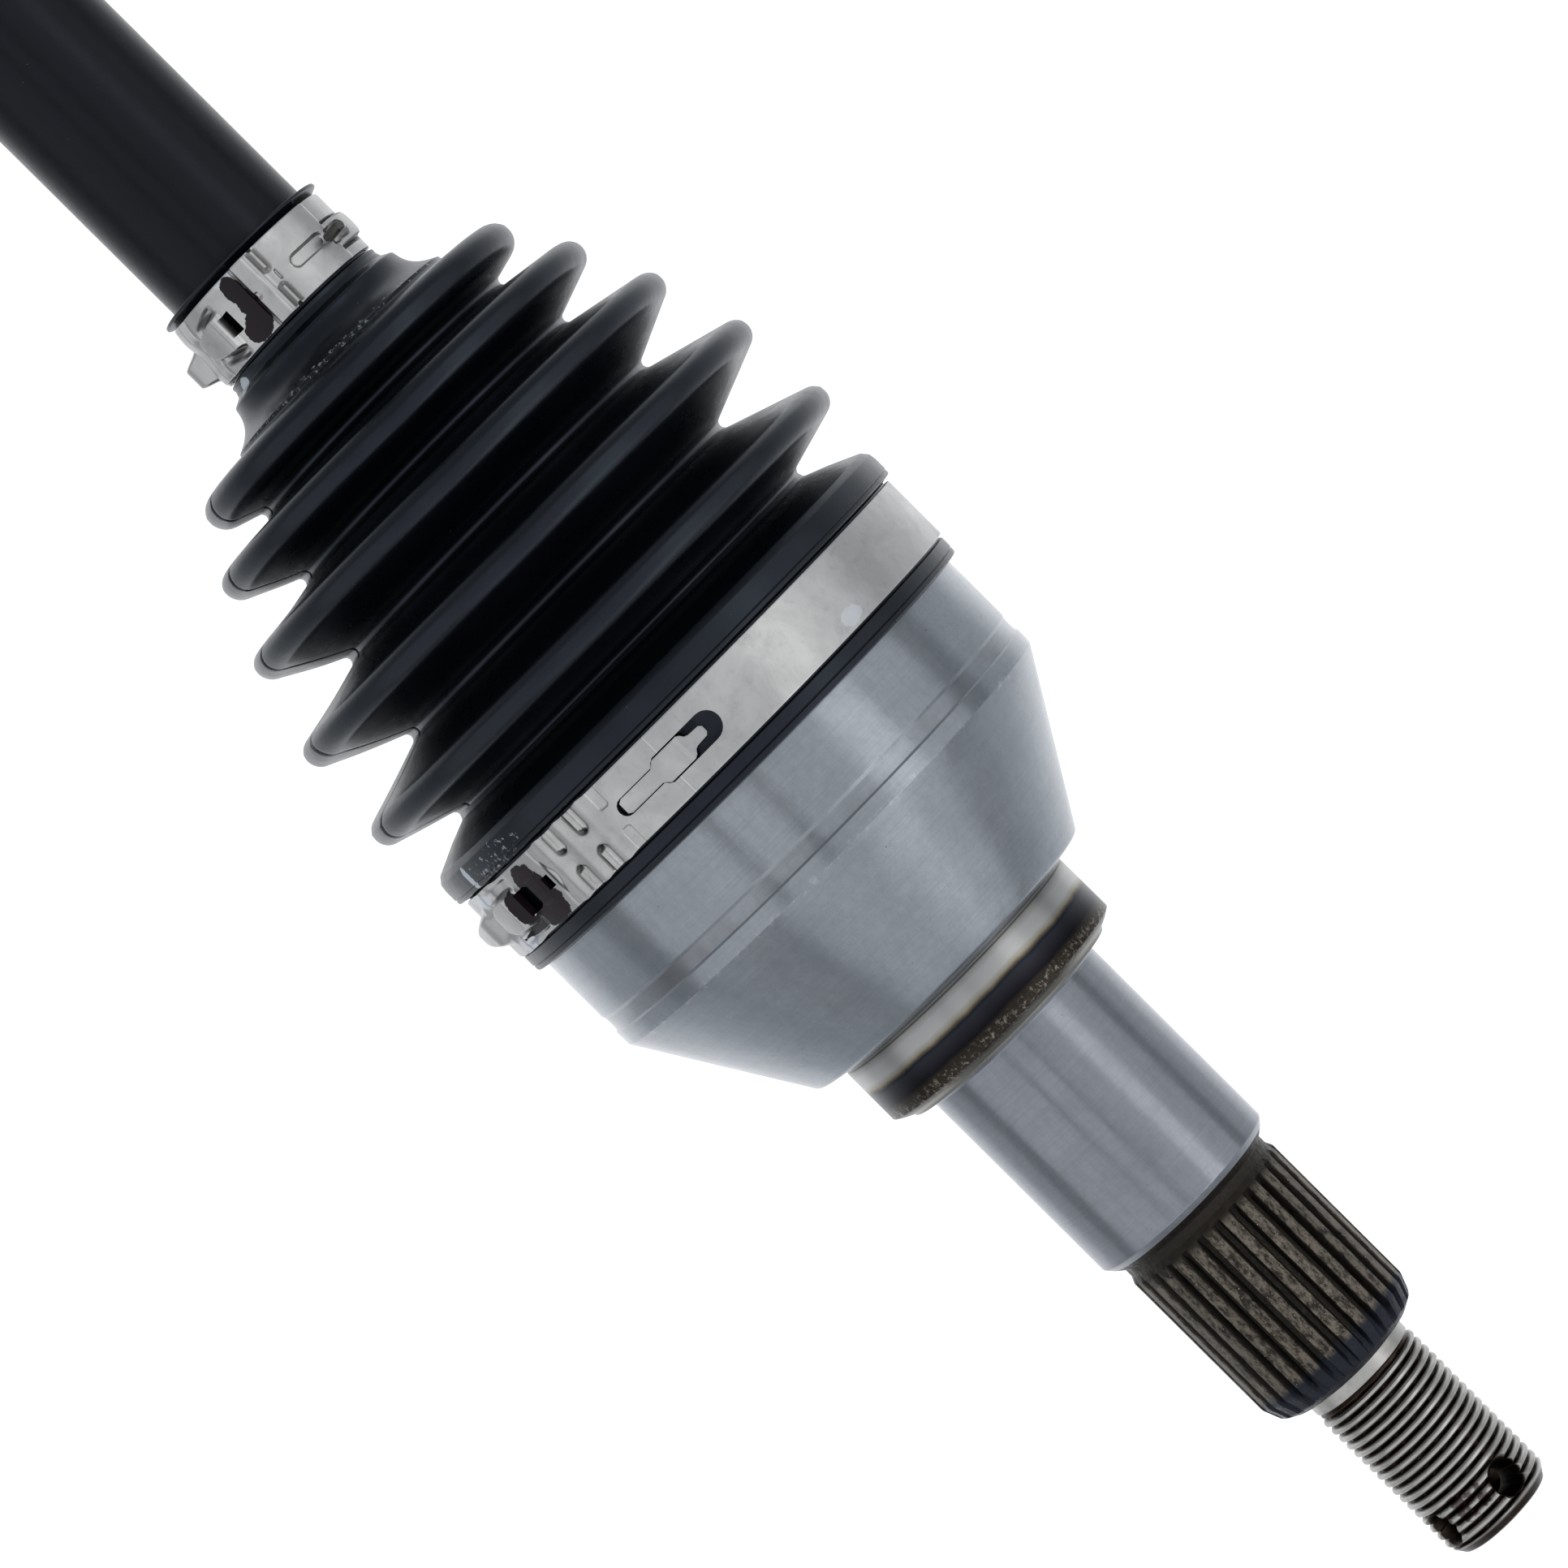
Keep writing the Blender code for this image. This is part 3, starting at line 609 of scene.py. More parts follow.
def thread_steel():
    """Bright rolled crests over brown roots, with a little paint near the cotter holes."""
    nodes = Nodes("thread_steel", OUT, metallic=1.0)
    radius = nodes.radius()
    plain = nodes.math("MAXIMUM", nodes.span(nodes.x, 114.5, 114.2), nodes.span(nodes.x, 142.3, 142.45))
    crest = nodes.math("MAXIMUM", nodes.span(radius, 8.42, 8.72), plain)
    smear = nodes.noise(0.35, 3.0, 0.6)
    base = nodes.mix(crest, (0.030, 0.021, 0.015), (0.42, 0.41, 0.39))
    base = nodes.mix(nodes.span(smear, 0.5, 0.8, 0.0, 0.4), base, (0.12, 0.10, 0.085))
    near = nodes.times(nodes.blot(134.0, 138.6, -14.0, 52.0), nodes.span(smear, 0.45, 0.53))
    base = nodes.mix(nodes.times(near, 0.75), base, (0.030, 0.004, 0.008))
    nodes.colour(base)
    nodes.roughness(nodes.span(smear, 0.2, 0.8, 0.25, 0.42))
    return nodes.material


def rubber(name, centre, crumbs=(), chips=()):
    """Moulded black rubber: satin, dusty, with scattered pale specks. crumbs and chips are
    patches of crumbly and solid pale sealant, each (from x, to x, from degrees, to degrees)."""
    nodes = Nodes(name, centre, roughness=0.42)
    clouds = nodes.noise(0.05, 4.0, 0.6)
    base = nodes.mix(nodes.span(clouds, 0.3, 0.75), (0.0012, 0.0015, 0.0024), (0.0028, 0.0033, 0.0050))
    nodes.shader.inputs["Specular Tint"].default_value = (0.70, 0.82, 1.0, 1.0)
    dust = nodes.span(nodes.cells(0.42), 0.022, 0.034, 1.0, 0.0)
    keep = nodes.span(nodes.noise(0.09, 2.0), 0.53, 0.60)
    base = nodes.mix(nodes.times(dust, keep), base, (0.30, 0.31, 0.33))
    if crumbs:
        patch = nodes.either([nodes.blot(*place, 0.9, 0.8) for place in crumbs])
        broken = nodes.span(nodes.noise(1.3, 5.0, 0.7), 0.56, 0.61)
        base = nodes.mix(nodes.times(patch, broken), base, (0.24, 0.255, 0.27))
    if chips:
        patch = nodes.either([nodes.blot(*place, 0.5, 0.8) for place in chips])
        base = nodes.mix(patch, base, (0.42, 0.46, 0.50))
    nodes.colour(base)
    nodes.shader.inputs["Specular IOR Level"].default_value = 0.39
    nodes.roughness(nodes.span(nodes.noise(0.3, 5.0, 0.7), 0.25, 0.8, 0.24, 0.36))
    fine = nodes.bump(nodes.noise(1.8, 3.0, 0.6), 0.03, 0.4)
    nodes.normal(nodes.bump(clouds, 0.3, 0.3, fine))
    return nodes


def bar_paint():
    """Black paint with faint runs and dust."""
    nodes = Nodes("bar_paint", OUT)
    clouds = nodes.noise(0.06, 4.0, 0.6, nodes.stretched(0.3, 1.0, 1.0))
    base = nodes.mix(nodes.span(clouds, 0.3, 0.75), (0.0020, 0.0022, 0.0032), (0.0042, 0.0045, 0.0060))
    nodes.shader.inputs["Specular IOR Level"].default_value = 0.21
    nodes.shader.inputs["Specular Tint"].default_value = (0.78, 0.86, 1.0, 1.0)
    dust = nodes.span(nodes.cells(0.6), 0.02, 0.032, 1.0, 0.0)
    keep = nodes.span(nodes.noise(0.12, 2.0), 0.54, 0.62)
    base = nodes.mix(nodes.times(dust, keep), base, (0.22, 0.20, 0.18))
    nodes.colour(base)
    nodes.roughness(nodes.span(nodes.noise(0.5, 5.0, 0.7), 0.25, 0.8, 0.22, 0.34))
    nodes.normal(nodes.bump(nodes.noise(0.7, 4.0, 0.6), 0.05, 0.3))
    return nodes.material


def clamp_steel(name, centre, paint, smears, painted_shade):
    """Stainless strip with grey stains. paint and smears are patches of dried dark paint and pale
    sealant, and the last list gives patches of painted shade: dark outlines in the grooves, round the
    ribs, beside the ear and under the band's steps, where shade falls. Each is (from x, to x, from
    degrees, to degrees)."""
    nodes = Nodes(name, centre, metallic=1.0)
    clouds = nodes.noise(0.16, 4.0, 0.6, distortion=0.7)
    base = nodes.mix(nodes.span(clouds, 0.35, 0.7), (0.49, 0.485, 0.48), (0.40, 0.397, 0.395))
    stain = nodes.span(nodes.noise(0.5, 5.0, 0.7), 0.55, 0.75, 0.0, 0.45)
    base = nodes.mix(stain, base, (0.27, 0.268, 0.28))
    # Painted shade: dark ovals in the band's grooves, round its ribs, beside its ear and under its
    # steps, where shade falls.
    darkening = nodes.either([nodes.haze(*place) for place in painted_shade])
    base = nodes.mix(nodes.times(darkening, 0.85), base, (0.060, 0.056, 0.054))
    if smears:
        pale = nodes.either([nodes.blot(*smear, 0.55, 0.9) for smear in smears])
        base = nodes.mix(nodes.times(pale, 0.5), base, (0.60, 0.64, 0.70))
    if paint:
        dark = nodes.either([nodes.blot(*patch) for patch in paint])
        base = nodes.mix(dark, base, (0.009, 0.0045, 0.0075))
        nodes.feed(nodes.shader.inputs["Metallic"], nodes.span(dark, 0.0, 1.0, 1.0, 0.0))
        nodes.feed(nodes.shader.inputs["Specular IOR Level"], nodes.span(dark, 0.0, 1.0, 0.5, 0.24))
    nodes.colour(base)
    nodes.roughness(nodes.span(clouds, 0.25, 0.75, 0.28, 0.40))
    lines = nodes.noise(1.0, 3.0, 0.6, nodes.stretched(5.0, 0.08, 0.08))
    fine = nodes.bump(lines, 0.012, 0.5)
    nodes.normal(nodes.bump(clouds, 0.25, 0.35, fine))
    return nodes.material


def ground_steel(name, centre, tone, roughness):
    """Plain ground steel, for the inner parts and the small wires."""
    nodes = Nodes(name, centre, metallic=1.0)
    clouds = nodes.noise(0.2, 4.0, 0.6)
    nodes.colour(nodes.mix(nodes.span(clouds, 0.3, 0.75), tone, tuple(0.75 * c for c in tone)))
    smudges = nodes.noise(0.8, 4.0, 0.6)
    nodes.roughness(nodes.span(smudges, 0.25, 0.8, roughness - 0.04, roughness + 0.08))
    nodes.normal(nodes.bump(nodes.noise(2.0, 3.0), 0.01, 0.3))
    return nodes.material


# ---------------------------------------------------------------- steel pieces

def off_tooth(A, count, phase=0.0):
    """How far an angle is from the nearest of that many teeth, in tooth pitches."""
    pitch = 2 * math.pi / count
    return np.abs(((A - phase) / pitch + 0.5) % 1.0 - 0.5)


def off_track(A, track):
    """The angle between a place and a ball track, round the axle."""
    return signed(math.pi / 2 - A - track)


def track_wall(lateral, side):
    """The distance from the joint's centre to the wall of a ball track at an angle from its
    middle, on its outer side (1) or its inner side (-1), and whether the track is as wide."""
    chord = TRACK_RADIUS ** 2 - (PITCH_RADIUS * np.sin(lateral)) ** 2
    return PITCH_RADIUS * np.cos(lateral) + side * np.sqrt(np.maximum(chord, 0)), chord > 0


def spline_teeth(land, root, count, start, end, phase):
    """A relief that carves spline teeth between start and end, running out at both."""
    def relief(X, R, A):
        tooth = ease(off_tooth(A, count, phase), 0.335, 0.285)
        depth = (land - root) * (1 - tooth)
        inside = ease(X, start - 0.4, start + 0.9) * ease(X, end + 0.1, end - 0.9)
        floor = R - depth * inside
        return np.where(R > root, np.maximum(floor, np.minimum(R, root)), R)
    return relief


def make_wheel_housing():
    """Bell, cone, shoulder ring, seat and splines."""
    outside = rounded([
        (-20.5, 34.6, 0.0), (-20.5, 37.8, 0.5), (-19.9, 38.0, 0.3), (-9.9, 38.0, 0.5),
        (-9.3, 39.27, 0.3), (4.3, 39.3, 0.25), (4.8, 39.06, 0.25), (6.3, 39.04, 0.5),
        (7.0, 39.1, 0.2), (7.3, 39.36, 0.15), (9.6, 39.32, 0.35), (32.6, 25.4, 1.1),
        (33.3, 21.9, 0.5), (33.7, 20.7, 0.2), (34.1, 20.95, 0.25), (43.1, 21.0, 0.35),
        (43.8, 19.9, 0.35), (44.5, 18.5, 0.3), (44.9, 18.3, 0.1), (44.92, 15.9, 0.4),
        (45.6, 15.34, 0.3), (78.7, 15.34, 0.35), (79.7, 14.5, 0.5), (80.8, 13.15, 0.5),
        (82.2, 13.15, 0.5), (83.2, 13.65, 0.4), (108.3, 13.65, 1.7), (111.0, 12.6, 0.9),
        (112.0, 10.9, 0.5), (112.15, 8.6, 0.15), (113.6, 8.6, 0.2), (113.6, 4.0, 0.0),
    ])
    inside = arc(SOCKET_RADIUS, 40, 115.5, 40)
    cavity = [(24.2, 1.0), (24.2, 18.0)] + inside + [(-20.5, 34.6)]
    line = refined(cavity + outside[1:], 1.6)
    teeth = spline_teeth(13.65, 12.4, 27, 83.2, 111.6, math.radians(5.2))

    def relief(X, R, A):
        R = teeth(X, R, A)
        reach = np.hypot(X, R)
        slope = R / np.maximum(reach, 1e-6)
        grooves = np.zeros_like(R)
        for track in TRACKS:
            apart = off_track(A, track)
            lateral = np.arcsin(np.clip(slope * np.sin(apart), -1, 1))
            lateral = np.where(np.abs(apart) < 1.2, lateral, 1.5)
            wall, in_track = track_wall(lateral, 1)
            grooves = np.maximum(grooves, np.where(in_track, wall, 0) * slope)
        is_socket = (np.abs(reach - SOCKET_RADIUS) < 0.4) & (X < 24.3) & (R < 34)
        return np.where(is_socket, np.maximum(R, grooves), R)

    zones = ((33.5, 1), (44.95, 2), (79.5, 3))
    materials = [bell_steel(), collar_steel(), seat_steel(),
                 spline_oxide("spline_oxide", OUT, 13.65, 83.4, 107.8)]
    piece = lathe("wheel_housing", line, OUT, materials, even(324), relief=relief, zones=zones,
                  sharp=28)
    attach(piece, "wheel_stub", "forged_steel", "outboard_housing")
    make_thread()


def make_thread():
    """M18 x 1.5 thread with two crossed cotter holes."""
    pitch = 1.5
    crest = 8.95
    depth = 0.85
    start = 114.6
    end = 142.5
    ends = [(112.2, 8.3), (112.5, 8.66), (114.3, 8.66)]
    body = [(x, crest) for x in np.arange(start, end - 0.05, pitch / 14)]
    line = ends + body + [(end, crest - 1.2)]

    def relief(X, R, A):
        turn = ((X + 0.4) / pitch - A / (2 * math.pi)) % 1.0
        flank = np.abs(turn - 0.5) * 2
        ridge = np.clip((1 - flank) * 1.35, 0.0, 1.0) ** 0.85
        inside = (X > start - 0.01) & (X < end - 0.01)
        taper = ease(X, start, start + 0.8)
        nose = np.clip((X - (end - 1.8)) / 1.8, 0, 1) * 1.25
        threaded = crest - depth + (depth * ridge) * taper
        worn = np.minimum(threaded, crest - nose)
        return np.where(inside, worn, R)

    thread = lathe("wheel_thread", line, OUT, [thread_steel()], even(96), relief=relief, sharp=50)
    hole_station = Matrix.Translation((OUT + 137.7 * MM, 0, 0))
    hole_outline = ((-12, 6.0), (-7.9, 2.45), (7.9, 2.45), (12, 6.0))
    cutters = []
    for turn in (-27.0, 63.0):
        hole = bmesh.new()
        skin(hole, [
            bmesh.ops.create_circle(hole, segments=40, radius=radius * MM,
                                    matrix=Matrix.Translation((0, 0, height * MM)))["verts"]
            for height, radius in hole_outline
        ])
        cutter = added("hole", finished(hole, "hole"))
        cutter.matrix_world = hole_station @ Matrix.Rotation(math.radians(turn), 4, "X")
        cutters.append(cutter)
    cut_away(thread, cutters, 50)
    attach(thread, "wheel_stub", "forged_steel", "outboard_housing")


def make_gearbox_housing():
    """Cup, seal journal and splined stub."""
    outside = rounded([
        (37.0, 32.6, 0.0), (37.0, 36.8, 0.5), (36.4, 37.0, 0.3), (22.4, 37.0, 0.5),
        (21.8, 38.3, 0.3), (-12.0, 38.3, 0.2), (-12.3, 37.9, 0.2), (-14.3, 37.9, 0.2),
        (-14.6, 38.3, 0.2), (-30.0, 38.3, 2.0), (-42.0, 30.0, 2.5), (-45.0, 21.3, 1.2),
        (-48.0, 21.0, 0.5), (-48.05, 17.2, 0.6), (-49.3, 16.6, 0.5), (-49.6, 16.0, 0.3),
        (-62.0, 16.0, 0.4), (-63.3, 13.2, 0.5), (-66.5, 13.2, 0.5), (-67.3, 13.6, 0.4),
        (-86.9, 13.6, 0.2), (-87.0, 11.2, 0.2), (-89.0, 11.2, 0.2), (-89.1, 13.6, 0.2),
        (-94.0, 13.6, 0.8), (-97.0, 11.0, 0.4), (-97.0, 4.0, 0.0),
    ])
    cavity = [
        (-37.0, 1.0), (-37.0, 22.0), (-31.0, 31.4), (31.6, 31.4), (31.6, 32.4), (34.4, 32.4),
        (34.4, 31.4), (35.8, 31.4), (37.0, 32.6),
    ]
    line = refined(cavity + outside[1:], 1.6)
    land = 13.6
    root = 12.45

    def relief(X, R, A):
        tooth = ease(off_tooth(A, 24), 0.335, 0.285)
        floor = R - (land - root) * (1 - tooth) * ease(X, -67.0, -68.2)
        carved = np.where((X < -66.9) & (R > root), np.maximum(floor, np.minimum(R, root)), R)
        grooves = np.zeros_like(R)
        for track in TRACKS:
            apart = off_track(A, track)
            wall, in_track = track_wall(apart, 1)
            near = in_track & (np.abs(apart) < 1.0)
            grooves = np.where(near, np.maximum(grooves, wall), grooves)
        is_bore = (R > 31.3) & (R < 32.7) & (X > -33.0) & (X < 37.1)
        return np.where(is_bore, np.maximum(carved, grooves), carved)

    body = turned_steel("cup_steel", IN, (0.275, 0.294, 0.322), (0.225, 0.245, 0.275), 0.33)
    journal = turned_steel("journal_steel", IN, (0.33, 0.335, 0.35), (0.28, 0.285, 0.30), 0.26, 5.0)
    oxide = spline_oxide("gearbox_spline_oxide", IN, land, -93.6, -68.0)
    zones = ((-999.0, 1), (-96.6, 2), (-62.6, 1), (-48.5, 0))
    piece = lathe("gearbox_housing", line, IN, [body.material, journal.material, oxide],
                  even(288), relief=relief, zones=zones, sharp=28)
    attach(piece, "gearbox_stub", "forged_steel", "inboard_housing")


def make_bar():
    """The painted bar with splined ends, stop rings, necks and boot seats."""
    out = OUT / MM
    inn = IN / MM

    def seat(middle, side):
        half = 6.3
        return [
            (middle - side * (half + 8), 11.4, 2.0), (middle - side * (half + 6), 12.0, 2.0),
            (middle - side * half, 12.0, 0.3), (middle - side * half, 10.6, 0.3),
            (middle + side * half, 10.6, 0.3), (middle + side * half, 12.0, 0.3),
        ]

    def end(side):
        return [
            (15.5 * side, 4.0, 0.0), (15.5 * side, 10.6, 0.3), (14.5 * side, 11.7, 0.3),
            (13.9 * side, 11.7, 0.05), (13.9 * side, 10.2, 0.05), (12.5 * side, 10.2, 0.05),
            (12.5 * side, 11.7, 0.05), (-12.3 * side, 11.7, 0.05), (-12.3 * side, 12.7, 0.2),
            (-15.3 * side, 12.7, 0.6), (-18.3 * side, 11.4, 1.5),
        ]

    outboard = [(x + out, r, f) for x, r, f in end(1) + seat(WHEEL_SMALL_BAND, -1)]
    inboard = [(x + inn, r, f) for x, r, f in end(-1) + seat(GEARBOX_SMALL_BAND, 1)]
    line = rounded(outboard + inboard[::-1])
    line = refined(line[::-1], 6.0)

    def relief(X, R, A):
        gap = 0.9 * (1 - ease(off_tooth(A, 25), 0.3, 0.22))
        splined = ((X > out - 12.2) | (X < inn + 12.2)) & (R > 10.9) & (R < 11.75)
        return np.where(splined, R - gap, R)

    piece = lathe("bar", line, 0.0, [bar_paint()], even(200), relief=relief, sharp=30)
    attach(piece, "shaft", "black_paint", "shaft_bar")


def make_ball_set(prefix, centre, body):
    """Cage and six balls."""
    cage_line = arc(CAGE_OUTER, 90 + CAGE_OUTER_LEAN, 90 - CAGE_OUTER_LEAN, 16)
    cage_line += arc(CAGE_INNER, 90 - CAGE_INNER_LEAN, 90 + CAGE_INNER_LEAN, 16)
    dark = ground_steel(prefix + "_cage_steel", centre, (0.20, 0.20, 0.21), 0.34)
    cage = lathe(prefix + "_cage_ring", cage_line, centre, [dark], even(144), closed=True)
    cutters = []
    for turn in TRACKS:
        window = bmesh.new()
        bmesh.ops.create_cube(window, size=1.0)
        bmesh.ops.scale(window, verts=window.verts, vec=(16.5 * MM, 18.3 * MM, 14 * MM))
        upright = [e for e in window.edges if abs(e.verts[0].co.z - e.verts[1].co.z) > 0.001]
        bmesh.ops.bevel(window, geom=upright, offset=2.5 * MM, segments=4, affect="EDGES")
        cutter = added("window", finished(window, "window"))
        spin = Matrix.Rotation(turn - math.pi / 2, 4, "X")
        out = Matrix.Translation((0, 0, 28.6 * MM))
        cutter.matrix_world = Matrix.Translation((centre, 0, 0)) @ spin @ out
        cutters.append(cutter)
    cut_away(cage, cutters, 32)
    attach(cage, body, "bearing_steel", prefix + "_cage")
    shine = ground_steel(prefix + "_ball_steel", centre, (0.50, 0.50, 0.51), 0.10)
    for number, turn in enumerate(TRACKS, 1):
        ball = bmesh.new()
        bmesh.ops.create_icosphere(ball, subdivisions=5, radius=BALL_RADIUS * MM)
        shift = (centre, PITCH_RADIUS * math.cos(turn) * MM, PITCH_RADIUS * math.sin(turn) * MM)
        bmesh.ops.translate(ball, verts=ball.verts, vec=shift)
        piece = link(f"{prefix}_ball_{number}_polished", finished(ball, "ball"), [shine])
        attach(piece, body, "ball_steel", f"{prefix}_ball_{number}")


def make_race(prefix, centre, bent):
    """Inner race with six grooves, bent round the joint's centre or straight."""
    half = math.degrees(math.asin(RACE_HALF / RACE_RADIUS))
    outer = arc(RACE_RADIUS, 90 + half, 90 - half, 24)
    bore = [(RACE_HALF - 0.6, 12.6), (RACE_HALF - 1.0, 12.05),
            (1.0 - RACE_HALF, 12.05), (0.6 - RACE_HALF, 12.6)]
    line = refined(outer + bore, 1.5)

    def relief(X, R, A):
        carved = R.copy()
        slope = R / np.maximum(np.hypot(X, R) if bent else R, 1e-6)
        for track in TRACKS:
            apart = off_track(A, track)
            wall, in_track = track_wall(np.arcsin(np.clip(slope * np.sin(apart), -1, 1)), -1)
            near = in_track & (np.abs(apart) < 1.0) & (R > 14.5)
            carved = np.where(near, np.minimum(carved, np.maximum(wall * slope, 14.0)), carved)
        return carved

    steel = ground_steel(prefix + "_race_steel", centre, (0.32, 0.32, 0.33), 0.22)
    race = lathe(prefix + "_race", line, centre, [steel], even(240), closed=True, relief=relief)
    attach(race, "shaft", "bearing_steel", prefix + "_inner_race")


def wire_ring(name, node, body, centre, x, mean_radius, wire, gap_degrees):
    """A split spring ring with rounded ends."""
    steps = 120
    sides = 14
    half_gap = math.radians(gap_degrees) / 2
    made = bmesh.new()
    rings = []
    for k in range(steps + 1):
        around = half_gap + (2 * math.pi - 2 * half_gap) * k / steps
        shrink = min(1.0, 0.35 + 0.65 * min(k, steps - k) / 2)
        ring = []
        for m in range(sides):
            turn = 2 * math.pi * m / sides
            radius = mean_radius + wire * shrink * math.sin(turn)
            along = x + wire * shrink * math.cos(turn)
            ring.append(made.verts.new(on_axle(centre, along, radius, around)))
        rings.append(ring)
    skin(made, rings)
    steel = ground_steel(name + "_steel", centre, (0.16, 0.16, 0.17), 0.32)
    piece = link(name, finished(made, name), [steel], 50)
    attach(piece, body, "spring_steel", node)


# ---------------------------------------------------------------- boots

def crest_lines(crests, offset, inner_limit):
    """A relief with the fine parting line beside each crest and the mould seam down both sides.
    inner_limit is the radius under which nothing changes."""
    def relief(X, R, A):
        raised = np.zeros_like(R)
        for x, radius in crests:
            near = R > radius - 1.5
            raised += np.where(near, 0.10 * hump(X - x, offset, 0.16), 0.0)
        degrees = np.degrees(A) % 180.0
        bowed = SEAM_TURN + 1.2 * np.sin(X * 0.7)
        seam = hump(degrees, bowed, 0.55) * (R > inner_limit)
        return R + raised - 0.28 * seam
    return relief


def crest_lean(crests):
    """A lean of each crest towards -X on the -Y side. crests are (x, radius, lean there)."""
    def lean(X, R, A):
        side = np.clip(np.sin(A), 0.0, 1.0)
        total = np.zeros_like(R)
        for x, radius, amount in crests:
            near = hump(X, x, 4.2) * ease(R, radius - 11.0, radius - 1.0)
            total = np.maximum(total, amount * near)
        return -total * side
    return lean


def boot_piece(name, outer, inner, centre, material, relief=None, lean=None):
    """A closed length of boot wall between an outer and an inner outline."""
    line = refined(outer, 0.9) + refined(inner, 2.0)
    low, high = SEAM_TURN - 4.0, SEAM_TURN + 4.0
    half_turn = np.concatenate([np.arange(low, high, 0.4), np.arange(high, low + 180.0, 1.8)])
    angles = np.radians(np.concatenate([half_turn, half_turn + 180.0]))
    return lathe(name, line, centre, [material], angles, closed=True, relief=relief, sharp=60,
                 lean=lean)


def boot_walls(valleys, crests, roundings):
    """The outer and inner outlines of all the folds of a boot, from valley to valley."""
    points = []
    for valley, crest, rounding in zip(valleys, crests, roundings):
        points += [(*valley, -VALLEY_ROUND), (*crest, rounding)]
    points.append((*valleys[-1], -VALLEY_ROUND))
    outer = folds(points)
    inner = folds([
        (x, r - BOOT_WALL, max(s - BOOT_WALL, 0.4) if s > 0 else -(VALLEY_ROUND + BOOT_WALL))
        for x, r, s in points
    ])
    return outer, inner


def stretch_of(line, low, high):
    """The part of an outline between two places along the axle, with a short level run at each
    end, so that the shading carries on across the cut."""
    xs, rs = np.array(line).T
    first, last = np.interp((low, high), xs, rs)
    between = [point for point in line if low + 0.1 < point[0] < high - 0.1]
    return [(low, first), (low + 0.05, first), *between, (high - 0.05, last), (high, last)]


def boot_length(name, walls, low, high, centre, material, relief, lean=None):
    """The boot's wall between two places along the axle."""
    outer, inner = (stretch_of(line, low, high) for line in walls)
    return boot_piece(name, outer, inner[::-1], centre, material, relief, lean)


def boot_bends(prefix, walls, stations, bodies, centre, material, relief, nodes, lean=None):
    """The lengths of boot wall between stations, each baked where it stands, with the nodes it replaces
    hidden; the bodies are not used."""
    lengths = zip(stations, stations[1:], bodies, bodies[1:])
    for number, (low, high, first, second) in enumerate(lengths, 1):
        name = f"{prefix}_boot_bend_{number}"
        piece = boot_length(name, walls, low, high, centre, material, relief, lean)
        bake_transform(piece)
        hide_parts(*nodes)


def make_outboard_boot():
    """Five folds, cut at their crests, and the two cuffs."""
    crumbs = [(-24.0, -20.2, 43.0, 62.0), (-86.0, -85.0, -70.0, 62.0)]
    chips = [(-24.4, -20.2, 62.4, 64.4), (-92.6, -90.6, 53.0, 64.0)]
    material = rubber("outboard_rubber", OUT, crumbs, chips).material
    valleys = [(-85.6, 19.4), (-77.1, 22.8), (-67.2, 25.4), (-55.1, 28.7), (-41.7, 30.3), (-29.4, 33.2)]
    crests = [(-81.4, 28.9), (-72.6, 34.3), (-61.8, 39.0), (-48.8, 42.8), (-34.8, 43.9)]
    shifts = (0.55, 0.9, 0.9, 0.55, 0.25)
    lean = crest_lean([(*crest, shift) for crest, shift in zip(crests, shifts)])
    relief = crest_lines(crests, -0.9, 20.0)
    nodes = ["outboard_boot_wide", "outboard_boot_narrow"]

    walls = boot_walls(valleys, crests, [CREST_ROUND + 0.3] + [CREST_ROUND] * 4)
    stations = [valleys[0][0]] + [x for x, _ in crests[1:]]
    bodies = ["shaft", "wheel_boot_narrow", "wheel_ball_set", "wheel_boot_wide", "wheel_stub"]
    boot_bends("outboard", walls, stations, bodies, OUT, material, relief, nodes, lean)
    shoulder = boot_length("outboard_boot_shoulder", walls, crests[-1][0], valleys[-1][0], OUT,
                           material, relief, lean)
    attach(shoulder, "wheel_stub", "boot_rubber", *nodes)

    outer = rounded([
        (-29.4, 33.2, 0.0), (-28.6, 33.5, 0.5), (-27.3, 36.8, 1.5), (-25.3, 41.2, 0.8),
        (-24.3, 42.0, 0.7), (-23.3, 42.15, 0.5), (-21.4, 42.15, 0.15), (-21.3, 41.95, 0.05),
        (-21.1, 42.1, 0.1), (-20.6, 42.05, 0.3), (-20.3, 40.5, 0.2), (-9.4, 40.5, 0.2),
        (-9.15, 40.95, 0.25), (-7.5, 40.95, 0.1), (-7.4, 40.7, 0.1), (-7.2, 40.9, 0.1),
        (-6.5, 40.85, 0.35), (-6.25, 39.6, 0.0),
    ])
    inner = rounded([
        (-6.25, 39.6, 0.0), (-9.5, 39.55, 0.2), (-10.0, 38.3, 0.2), (-20.9, 38.3, 0.1),
        (-21.1, 35.5, 0.4), (-23.6, 33.6, 1.2), (-26.8, 31.6, 1.0), (-29.4, 31.4, 0.0),
    ])
    openings = pockets(WHEEL_LARGE_BAND, 40.5, ((-3.5, 25.0), (44.5, 58.5)))
    cuff = boot_piece("outboard_boot_large_cuff", outer, inner, OUT, material, openings)
    attach(cuff, "wheel_stub", "boot_rubber", *nodes)
    make_small_cuff("outboard", OUT, WHEEL_SMALL_BAND, -1, valleys[0], material, nodes)


def pockets(middle, radius, stretches):
    """A relief that sinks a clamp seat under the band's openings. stretches are (from, to) in
    degrees."""
    def relief(X, R, A):
        degrees = np.degrees(signed(A))
        is_seat = np.abs(R - radius) < 0.05
        sunk = sum(pad(degrees, start, end, 1.0) for start, end in stretches)
        return R - 0.9 * np.where(is_seat, sunk * pad(X, middle - 2.6, middle + 2.6, 0.5), 0)
    return relief


